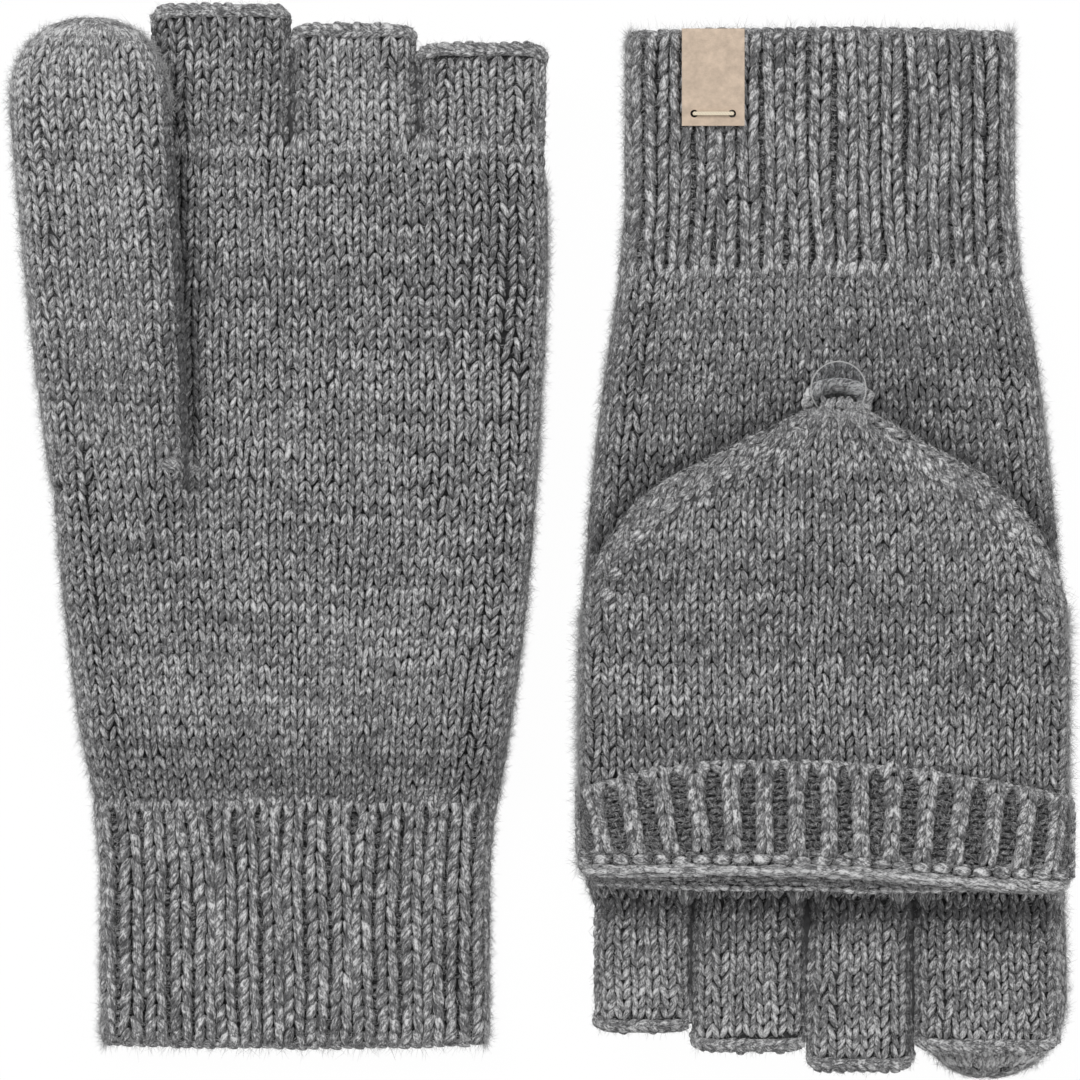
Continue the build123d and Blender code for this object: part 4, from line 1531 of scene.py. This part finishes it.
class MITTENS_OT_hoods(Operator):
    """Knits the flip-over hoods with their rolled edges"""

    bl_idname = "mittens.hoods"
    bl_label = "Knit Hoods"

    def execute(self, context):
        settings = context.scene.flip_top_mittens.knit
        for number, side in enumerate(SIDES):
            hood, band = HoodShape(side, settings), BandShape(side)
            rim, rim_rows = hood.rim()
            across, along = np.linspace(0, hood.columns, 60), np.linspace(0, hood.rows + 0.6, 60)

            # Painted shadow: the hood's stitches darken just above the band's upper edge, where the band shades them.
            def painted_shade(u, v):
                y = hood.mouth - v * hood.row
                gap = np.clip(band.top_line(hood.column_x(u, y)) - y, 0, None)
                return 0.485 - 0.34 * np.exp(-gap / 1.6)

            for upper, name, node in ((True, "hood_palm_knit", "hood_palm"), (False, "hood_back_knit", "hood_back")):
                surface = hood.face(upper)
                cloth = Cloth()
                seed = 500 + 10 * number + upper
                plain_knit(
                    cloth, surface, hood.columns, hood.rows, settings, seed=seed, keep=hood.keep(2.0),
                    shade=painted_shade,
                )
                ground_sheet(cloth, surface, across, along, level=0.5, thickness=1.0)
                if upper:
                    # The rolled edge is knitted lighter than the hood: a painted highlight where it catches the light.
                    plain_knit(cloth, rim, 3, rim_rows, settings, seed=520 + number, scale=1.05, shade=0.58)
                    self.nub(cloth, hood, 530 + number)
                    self.decreases(cloth, hood, surface, 540 + number)
                finish_piece(cloth, side, name, body_of(side, "hood"), [node])
        return {"FINISHED"}

    def decreases(self, cloth, hood, surface, seed):
        """Slanted stitches along the dome, each where two columns were knitted together."""
        dice = np.random.default_rng(seed)
        y_low, y_high = -103.5, -66.0
        dome = hood.outline[(hood.outline[:, 1] < y_high) & (hood.outline[:, 1] > y_low)][::10]
        for x, y in dome:
            inward = np.sign(x - hood.apex[0])
            place = np.array((x - 4.6 * inward, y + 4.0))
            # Two light strands and a thin near-black one; the dark strand is painted shade in the gap beside each
            # decrease.
            for step, tone, thick in ((0.0, 0.64, 0.95), (0.9, 0.58, 0.95), (-0.9, 0.05, 0.5)):
                foot = place + (1.4 * inward + step * inward, 1.6 - step)
                head = place + (-0.9 * inward + step * inward, -1.2 - step)
                start, end = np.array((hood.coordinates(*foot),)), np.array((hood.coordinates(*head),))
                tone = tone + dice.normal(0, 0.05)
                lay_yarn(
                    cloth, surface, start, end, rise=0.9, sink=0.3, width=thick, depth=0.9 * thick, tone=tone,
                    seed=seed + int(10 * abs(x)),
                )

    def nub(self, cloth, hood, seed):
        """Gathered stitches at the hood's tip, which lap over the button's edge."""
        dice = np.random.default_rng(seed)
        middle, top = hood.apex[0], hood.middle + hood.depth
        share = np.linspace(-0.5, 0.5, 8)[:, None]
        for _ in range(44):
            place = dice.uniform(-1, 1)
            angle = 0.5 * np.pi + 0.9 * np.sign(dice.normal()) * dice.uniform(0.2, 1.0)
            way = np.array((np.cos(angle), -np.sin(angle), 0.0))
            fall = dice.uniform(0, 1)
            across, along = middle + (3.6 + 3.4 * fall) * place, hood.tip - 0.6 + 4.4 * fall
            centre = np.array((across, along, top - 1.5 + 0.9 * fall - 0.9 * place**2))
            path = centre + way * 3.0 * share + np.array((0, 0, 0.9)) * np.cos(np.pi * share)
            lay_cord(cloth, path, radius=0.70, tone=0.58 + dice.normal(0, 0.08))


BAND_ROWS = 7

# Rows of the band's fold: place in millimetres, number of bumps, half length as a share of their pitch, half width
# and half depth of the yarn, rise and tone.
# The ridge rows and the last row are lighter: painted highlight where the fold and its lip catch the light.
FOLD_ROWS = (
    (0.1, 34, 0.60, 0.85, 0.75, -0.1, 0.46),
    (1.5, 27, 0.50, 1.45, 1.2, 0.25, 0.60),
    (3.1, 48, 0.95, 0.75, 0.65, 0.25, 0.68),
    (3.8, 42, 0.90, 0.85, 0.75, 0.40, 0.76),
    (4.6, 48, 0.95, 0.70, 0.60, 0.25, 0.68),
    (5.8, 42, 0.55, 0.60, 0.60, -0.1, 0.46),
    (6.9, 42, 0.55, 0.55, 0.60, -0.2, 0.46),
    (8.0, 43, 0.58, 0.68, 0.70, 0.25, 0.66),
)


class MITTENS_OT_bands(Operator):
    """Knits the turned-up ribbed bands at the hoods' mouths"""

    bl_idname = "mittens.bands"
    bl_label = "Knit Hood Bands"

    def execute(self, context):
        for number, side in enumerate(SIDES):
            band = BandShape(side)
            cloth = Cloth()
            seed = 600 + 10 * number
            dice = np.random.default_rng(seed)
            self.ribs(cloth, band, dice, seed)
            self.purls(cloth, band, dice, seed)
            self.fold(cloth, band, seed + 5)
            across = np.linspace(0.05, band.ribs - 0.05, 50)
            ground_sheet(cloth, band.face(), across, np.linspace(-0.1, 0.98, 12), level=1.3, thickness=0.9)
            ground_sheet(cloth, band.turn(), across, np.linspace(0.0, 8.0, 8), level=0.5, thickness=0.7)
            finish_piece(cloth, side, "band_ribs", body_of(side, "hood"), ["hood_band"])
        return {"FINISHED"}

    def ribs(self, cloth, band, dice, seed):
        """Ribs of one knit stitch each, with the arches and the chain that end them."""
        surface = band.face()
        rows = BAND_ROWS
        rib, row = stitch_places(band.ribs, rows)
        count = len(rib)
        middle = rib + 0.05 * wander(rib * 0.7, row * 0.3, seed) + dice.normal(0, 0.008, count)
        level = row + 0.25 * wander(rib * 0.9, row * 0.4, seed + 1) + dice.normal(0, 0.05, count)
        flare = 1 + 0.45 * smooth(rows - 1.6, rows - 0.2, row)
        for leg in (-1, 1):
            wide = flare * (0.19 + dice.normal(0, 0.018, count))
            narrow = flare * (0.035 + dice.normal(0, 0.014, count))
            start = spots(middle + leg * wide, (level - 0.92) / rows)
            end = spots(middle + leg * narrow, (level + 0.84) / rows)
            tone = 0.53 + dice.normal(0, 0.07, count)
            rise = 0.3 + dice.normal(0, 0.12, count)
            lay_yarn(
                cloth, surface, start, end, rise=rise, sink=0.7, width=1.2, depth=1.1, bow=leg * 0.01, tone=tone,
                seed=seed + 2 + leg,
            )
            arch = np.arange(band.ribs) + 0.5
            number = len(arch)
            start = spots(arch + leg * 0.12, 0.90 + dice.normal(0, 0.012, number))
            outer = arch + leg * (0.46 + dice.normal(0, 0.03, number))
            end = spots(outer, 1.0 + dice.normal(0, 0.012, number))
            tone = 0.62 + dice.normal(0, 0.06, number)
            lay_yarn(
                cloth, surface, start, end, rise=0.1, sink=0.5, width=0.98, depth=0.9, tone=tone, seed=seed + 20 + leg
            )
        chain = np.arange(band.ribs * 3) / 3 + 0.17
        number = len(chain)
        start = spots(chain - 0.2, 1.0 + dice.normal(0, 0.01, number))
        end = spots(chain + 0.2, 1.0 + dice.normal(0, 0.01, number))
        tone = 0.62 + dice.normal(0, 0.06, number)
        lay_yarn(cloth, surface, start, end, rise=-0.1, sink=0.6, width=0.85, depth=0.85, tone=tone, seed=seed + 30)

    def purls(self, cloth, band, dice, seed):
        """Recesses of purl stitches between the ribs, three lengths of yarn side by side."""
        steps = BAND_ROWS * 2
        fine = np.arange((band.ribs + 1) * steps)
        purl, step = (fine // steps).astype(float), (fine % steps + 0.5) / steps
        count = len(fine)
        for number, place in enumerate((-0.21, 0.0, 0.21)):
            tilt = 0.02 * (-1) ** (fine + number) + dice.normal(0, 0.012, count)
            aside = purl + place + dice.normal(0, 0.025, count)
            start = spots(aside - 0.15, step - tilt + dice.normal(0, 0.008, count))
            end = spots(aside + 0.15, step + tilt + dice.normal(0, 0.008, count))
            inside = (end[:, 0] > 0.05) & (end[:, 0] < band.ribs - 0.05) & (start[:, 0] > 0.02)
            # Purls are darker than the ribs: painted shade in the recesses between them.
            tone = (0.33 + dice.normal(0, 0.11, count))[inside]
            rise = (-1.15 + dice.normal(0, 0.16, count))[inside]
            start, end = start[inside], end[inside]
            lay_yarn(
                cloth, band.face(), start, end, rise=rise, sink=0.4, width=0.64, depth=0.6, tone=tone,
                seed=seed + 40 + number,
            )

    def fold(self, cloth, band, seed):
        """Rows of purl bumps, the smooth ridge between them and the darker edge below."""
        dice = np.random.default_rng(seed)
        for number, (w, bumps, reach, thick, deep, rise, tone) in enumerate(FOLD_ROWS):
            pitch = band.ribs / bumps
            middle = (np.arange(bumps) + 0.5 + (number % 2) * 0.3) * pitch
            middle = middle[(middle > 0.2) & (middle < band.ribs - 0.2)]
            count = len(middle)
            level = w + dice.normal(0, 0.16, count)
            start = spots(middle - reach * pitch, level + dice.normal(0, 0.12, count))
            end = spots(middle + reach * pitch, level + dice.normal(0, 0.12, count))
            thickness = thick * (1 + dice.normal(0, 0.12, count))
            rises, tones = rise + dice.normal(0, 0.12, count), tone + dice.normal(0, 0.08, count)
            lay_yarn(
                cloth, band.turn(), start, end, rise=rises, sink=0.45, width=thickness, depth=deep, tone=tones,
                seed=seed + number,
            )


class MITTENS_OT_seams(Operator):
    """Knits the joined row along the knuckles"""

    bl_idname = "mittens.seams"
    bl_label = "Knit Hood Seams"

    def execute(self, context):
        for number, side in enumerate(SIDES):
            low, high = own_box(side, "hood_seam")
            middle, half = (low + high) / 2, (high - low) / 2

            def point(u, turn):
                u, turn = floats(u, turn)
                y = middle[1] - (half[1] - 0.5) * np.cos(turn)
                return solid(low[0] + u, y, middle[2] + (half[2] - 0.3) * np.sin(turn))

            surface = with_normals(point, -1)
            cloth = Cloth()
            dice = np.random.default_rng(700 + number)
            place = np.arange(1.6, high[0] - low[0] - 1.6, 3.1)
            for turn in np.linspace(0, 2 * np.pi, 6, endpoint=False):
                start, end = spots(place - 1.5, turn - 0.35), spots(place + 1.5, turn + 0.35)
                tone = 0.5 + dice.normal(0, 0.06, len(place))
                lay_yarn(
                    cloth, surface, start, end, rise=0.1, sink=0.3, width=0.8, depth=0.6, tone=tone, seed=710 + number
                )
            finish_piece(cloth, side, "seam_chain", body_of(side, "hood"), ["hood_seam"])
        return {"FINISHED"}


class MITTENS_OT_loops(Operator):
    """Twists the cord loops that hold the hoods back on their buttons"""

    bl_idname = "mittens.loops"
    bl_label = "Twist Loops"

    def execute(self, context):
        for number, side in enumerate(SIDES):
            low, high = own_box(side, "button_loop")
            middle, level = (low[0] + high[0]) / 2, (low[2] + high[2]) / 2
            left, right, top, base = low[0] + 1.0, high[0] - 1.0, low[1] + 4.3, high[1] - 1.0
            turn = np.linspace(0, np.pi, 24)
            reach = np.where(turn < np.pi / 2, middle - left, right - middle) - 0.6
            across, along = middle - reach * np.cos(turn), top + 3.1 - 3.4 * np.sin(turn) ** 0.8
            arc = solid(across, along, level + 0.2 * np.sin(turn))
            first_leg = np.array(((left + 2.4, base, level - 0.2), (left + 0.9, top + 5.0, level)))
            last_leg = np.array(((right - 0.9, top + 5.0, level), (right - 2.4, base, level - 0.2)))
            cloth = Cloth()
            path = np.concatenate((first_leg, arc, last_leg))
            twist_cord(cloth, path, radius=1.85, strands=4, turn=5.0, tone=0.66)
            self.knot(cloth, np.array((left, top + 2.2, level + 1.6)), 720 + number)
            self.knot(cloth, np.array((right, top + 3.8, level + 1.6)), 730 + number)
            finish_piece(cloth, side, "loop_cord", body_of(side, "loop"), ["button_loop"])
        return {"FINISHED"}

    def knot(self, cloth, centre, seed):
        """A small tangle of yarn where the cord is fastened."""
        dice = np.random.default_rng(seed)
        share = np.linspace(-1, 1, 7)[:, None]
        for _ in range(14):
            away = unit(dice.normal(0, 1, 3)) * 1.2
            aim = unit(np.cross(away, dice.normal(0, 1, 3)))
            path = centre + away * (1 - 0.5 * share**2) + aim * 1.3 * share
            lay_cord(cloth, path, radius=0.5, tone=0.78 + dice.normal(0, 0.06))


class MITTENS_OT_trims(Operator):
    """Gives the buttons, threads and the label their finishes"""

    bl_idname = "mittens.trims"
    bl_label = "Finish Buttons and Label"

    def execute(self, context):
        trims = context.scene.flip_top_mittens.trims
        clear = clear_plastic("clear_button_plastic", trims)
        cream = thread_material("cream_waxed_thread", trims.label_thread)
        leather = leather_material("pale_leather", trims)
        edge = edge_highlight_material("button_edge_highlight")
        for side in SIDES:
            self.rim(side, edge)
            self.stitches(side)
            dress(f"{side}_button", clear)
        dress("right_cuff_label", leather)
        dress("right_label_thread", cream)
        return {"FINISHED"}

    def stitches(self, side):
        """Grey thread through the two holes of a button, over and over."""
        low, high = own_box(side, "button_thread")
        dice = np.random.default_rng(740)
        cloth = Cloth()
        share = np.linspace(0, 1, 12)
        for _ in range(9):
            shift = dice.uniform(-0.5, 0.5)
            across = low[0] + 0.5 + (high[0] - low[0] - 1.0) * share
            over = (high[2] - low[2] - 0.6) * np.clip(4 * np.sin(np.pi * share), 0, 1) - 0.5 * abs(shift)
            path = solid(across, (low[1] + high[1]) / 2 + shift, low[2] + 0.3 + over)
            lay_cord(cloth, path, radius=0.28, tone=0.35 + dice.normal(0, 0.08))
        finish_piece(cloth, side, "button_stitches", body_of(side), ["button_thread"])

    def rim(self, side, made):
        """A grey ring on the polished round edge of a button: a painted highlight where clear plastic catches the
        light.
        """
        steps, spokes, thick = 72, 6, 0.15
        low, high = own_box(side, "button")
        middle, reach = (low + high) / 2, (high[0] - low[0]) / 2
        turn = np.linspace(0, 2 * np.pi, steps + 1)[:-1]
        place = solid(np.cos(turn), np.sin(turn), 0 * turn)
        rings = []
        for angle in np.linspace(0, 2 * np.pi, spokes + 1)[:-1]:
            height = high[2] - 0.1 + thick * math.sin(angle)
            rings.append(middle * (1, 1, 0) + place * (reach - 0.20 + thick * math.cos(angle)) + (0, 0, height))
        points = lay_down(side, np.stack(rings, axis=1).reshape(-1, 3))
        faces = []
        for one in range(steps):
            for spoke in range(spokes):
                on, after = (one + 1) % steps, (spoke + 1) % spokes
                corners = ((one, spoke), (on, spoke), (on, after), (one, after))
                faces.append([ring * spokes + corner for ring, corner in corners])
        mesh = bpy.data.meshes.new(f"{side}_button_edge")
        mesh.from_pydata(points.tolist(), [], faces)
        thing = place_mesh(mesh, [made])
        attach(thing, body_of(side))


class MITTENS_OT_fuzz(Operator):
    """Lets loose fibres stand out of the wool"""

    bl_idname = "mittens.fuzz"
    bl_label = "Raise Fuzz"

    def execute(self, context):
        settings = context.scene.flip_top_mittens.knit
        fibre = fibre_material("loose_wool_fibre", context.scene.flip_top_mittens.wool)
        for number, side in enumerate(SIDES):
            hand, thumb, cuff = HandShape(side, settings), ThumbShape(side, settings), CuffShape(side)
            hood, band = HoodShape(side, settings), BandShape(side)
            rim, rim_rows = hood.rim()

            def off_palm(u, v):
                return (u < 10.6) | (v > 36)

            seed = 800 + 40 * number
            shapes = (
                ("hand", "mitten", hand.face, hand.columns, hand.rows, 15000, None),
                ("thumb", "mitten", thumb.face, thumb.columns, thumb.rows, 8000, off_palm),
                ("cuff", "mitten", cuff.face, cuff.ribs, cuff.rows, 9000, None),
                ("hood", "hood", hood.face, hood.columns, hood.rows, 13000, hood.keep(0.3)),
            )
            for name, body, face, columns, rows, count, keep in shapes:
                halo, nap = Cloth(), Cloth()
                for upper in (True, False):
                    seed += 10
                    lay_fuzz(halo, face(upper), columns, rows, count, seed=seed, edge=0.75, keep=keep)
                    lay_fuzz(
                        nap, face(upper), columns, rows, count, seed=seed + 1, edge=0.15, keep=keep, nap=True
                    )
                    if name == "cuff":
                        lay_fuzz(halo, face(upper), columns, 0.6, count=2500, seed=seed + 2, edge=0.1)
                if name == "thumb":
                    lay_fuzz(halo, thumb.cap(), 12, 1.0, count=1500, seed=seed + 2, edge=0.0)
                if name == "hood":
                    lay_fuzz(halo, rim, 3, rim_rows, count=3500, seed=seed + 3, edge=0.0)
                    lay_fuzz(nap, band.face(), band.ribs, 1.0, count=4500, seed=seed + 4, edge=0.1, nap=True)
                    lay_fuzz(nap, band.turn(), band.ribs, 8.5, count=5000, seed=seed + 5, edge=0.1, nap=True)
                self.piece(side, f"{name}_fuzz", body, halo, fibre)
                self.piece(side, f"{name}_nap", body, nap, fibre)
            self.fingers(side, hand, settings, seed, fibre)
        return {"FINISHED"}

    def fingers(self, side, hand, settings, seed, fibre):
        """Fibres of the half fingers, none in the dark gaps between them."""
        halo, nap = Cloth(), Cloth()
        for place, name in enumerate(FINGERS):
            finger = FingerShape(side, name, hand, settings)
            columns, rows = finger.columns, finger.rows

            def outside(u, v):
                return ((u > 1.0) | (name == "index")) & ((u < columns - 0.8) | (name == "little"))

            for upper in (True, False):
                face = finger.face(upper)

                def rim(u, v):
                    return face(u, rows + 0.4 + v)

                lay_fuzz(
                    nap, face, columns, rows + 1.2, count=1300, seed=seed + 6 + place, edge=0.1, keep=outside, nap=True
                )
                lay_fuzz(
                    halo, face, columns, rows + 1.3, count=900, seed=seed + 16 + place, edge=0.35, keep=outside,
                    longest=3.4,
                )
                lay_fuzz(halo, rim, columns, 0.9, count=450, seed=seed + 26 + place, edge=0.05, longest=2.6)
        self.piece(side, "finger_fuzz", "mitten", halo, fibre)
        self.piece(side, "finger_nap", "mitten", nap, fibre)

    def piece(self, side, name, body, cloth, fibre):
        thing = cloth.build(side, f"{side}_{name}", [fibre])
        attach(thing, body_of(side, body))


class MITTENS_OT_stage(Operator):
    """Sets the pale floor, the soft light and the camera straight above"""

    bl_idname = "mittens.stage"
    bl_label = "Set Stage"

    def execute(self, context):
        scene = context.scene
        settings = scene.flip_top_mittens.stage
        scene.view_settings.view_transform = "Standard"
        self.floor()
        self.lamps(scene, settings)
        camera = bpy.data.cameras.new("camera")
        camera.lens = settings.lens
        camera.sensor_width = 36.0
        holder = bpy.data.objects.new("camera", camera)
        distance = settings.view_width * settings.lens / camera.sensor_width
        height_seen = 20.0
        holder.location = (0.23 * MM, 0.35 * MM, (distance + height_seen) * MM)
        scene.collection.objects.link(holder)
        scene.camera = holder
        return {"FINISHED"}

    def floor(self):
        """A wide pale floor that shows as white to the camera, in glossy reflections and through clear plastic."""
        mesh = bpy.data.meshes.new("floor")
        reach = 6.0
        corners = [(-reach, -reach, 0), (reach, -reach, 0), (reach, reach, 0), (-reach, reach, 0)]
        mesh.from_pydata(corners, [], [(0, 1, 2, 3)])
        pale = {"Base Color": (0.95, 0.95, 0.95, 1), "Roughness": 1.0, "Specular IOR Level": 0.0}
        white = Finish("white_floor", pale)
        thing = place_mesh(mesh, [white.material])
        thing.location.z = -0.2 * MM
        bright = white.new("ShaderNodeEmission", {"Color": (1, 1, 1, 1)})
        path = white.nodes.new("ShaderNodeLightPath").outputs
        seen = white.math("MAXIMUM", path["Is Camera Ray"], path["Is Glossy Ray"])
        seen = white.math("MAXIMUM", seen, path["Is Transmission Ray"])
        mix = white.nodes.new("ShaderNodeMixShader")
        inputs = (white.math("MULTIPLY", seen, 0.985), white.shader.outputs[0], bright.outputs[0])
        for number, output in enumerate(inputs):
            white.links.new(output, mix.inputs[number])
        white.links.new(mix.outputs[0], white.nodes["Material Output"].inputs["Surface"])

    def lamps(self, scene, settings):
        """The light from all round, the big soft light and a weaker one from the other side."""
        world = bpy.data.worlds.new("studio")
        world.use_nodes = True
        set_inputs(world.node_tree.nodes["Background"], {"Color": (1, 1, 1, 1), "Strength": settings.fill})
        scene.world = world
        for name, place, size, share in (("key", (-0.7, 0.8, 1.1), 0.7, 1.0), ("rim", (0.9, -0.2, 0.9), 0.9, 0.35)):
            lamp = bpy.data.lights.new(name, "AREA")
            lamp.energy = settings.key * share
            lamp.size = size
            holder = bpy.data.objects.new(name, lamp)
            holder.location = place
            holder.rotation_mode = "QUATERNION"
            holder.rotation_quaternion = (-Vector(place)).to_track_quat("-Z", "Y")
            scene.collection.objects.link(holder)


class MITTENS_PT_panel(Panel):
    """Lists the pieces of the mittens"""

    bl_idname = "MITTENS_PT_panel"
    bl_label = "Flip-Top Mittens"
    bl_space_type = "VIEW_3D"
    bl_region_type = "UI"
    bl_category = "Mittens"

    def draw(self, context):
        settings = context.scene.flip_top_mittens
        for group in (settings.knit, settings.wool, settings.trims, settings.stage):
            box = self.layout.box()
            for name in group.__annotations__:
                box.prop(group, name)
        for operator in OPERATORS:
            self.layout.operator(operator.bl_idname)


OPERATORS = (
    MITTENS_OT_hands,
    MITTENS_OT_fingers,
    MITTENS_OT_thumbs,
    MITTENS_OT_cuffs,
    MITTENS_OT_hoods,
    MITTENS_OT_bands,
    MITTENS_OT_seams,
    MITTENS_OT_loops,
    MITTENS_OT_trims,
    MITTENS_OT_fuzz,
    MITTENS_OT_stage,
)
GROUPS = (KnitSettings, WoolSettings, StageSettings, TrimSettings, MittenSettings)
CLASSES = GROUPS + OPERATORS + (MITTENS_PT_panel,)


def register():
    for item in CLASSES:
        bpy.utils.register_class(item)
    bpy.types.Scene.flip_top_mittens = PointerProperty(type=MittenSettings)


def unregister():
    del bpy.types.Scene.flip_top_mittens
    for item in reversed(CLASSES):
        bpy.utils.unregister_class(item)


def main():
    register()
    bpy.ops.mittens.hands()
    bpy.ops.mittens.fingers()
    bpy.ops.mittens.thumbs()
    bpy.ops.mittens.cuffs()
    bpy.ops.mittens.hoods()
    bpy.ops.mittens.bands()
    bpy.ops.mittens.seams()
    bpy.ops.mittens.loops()
    bpy.ops.mittens.trims()
    bpy.ops.mittens.fuzz()
    bpy.ops.mittens.stage()


if __name__ == "__main__":
    main()
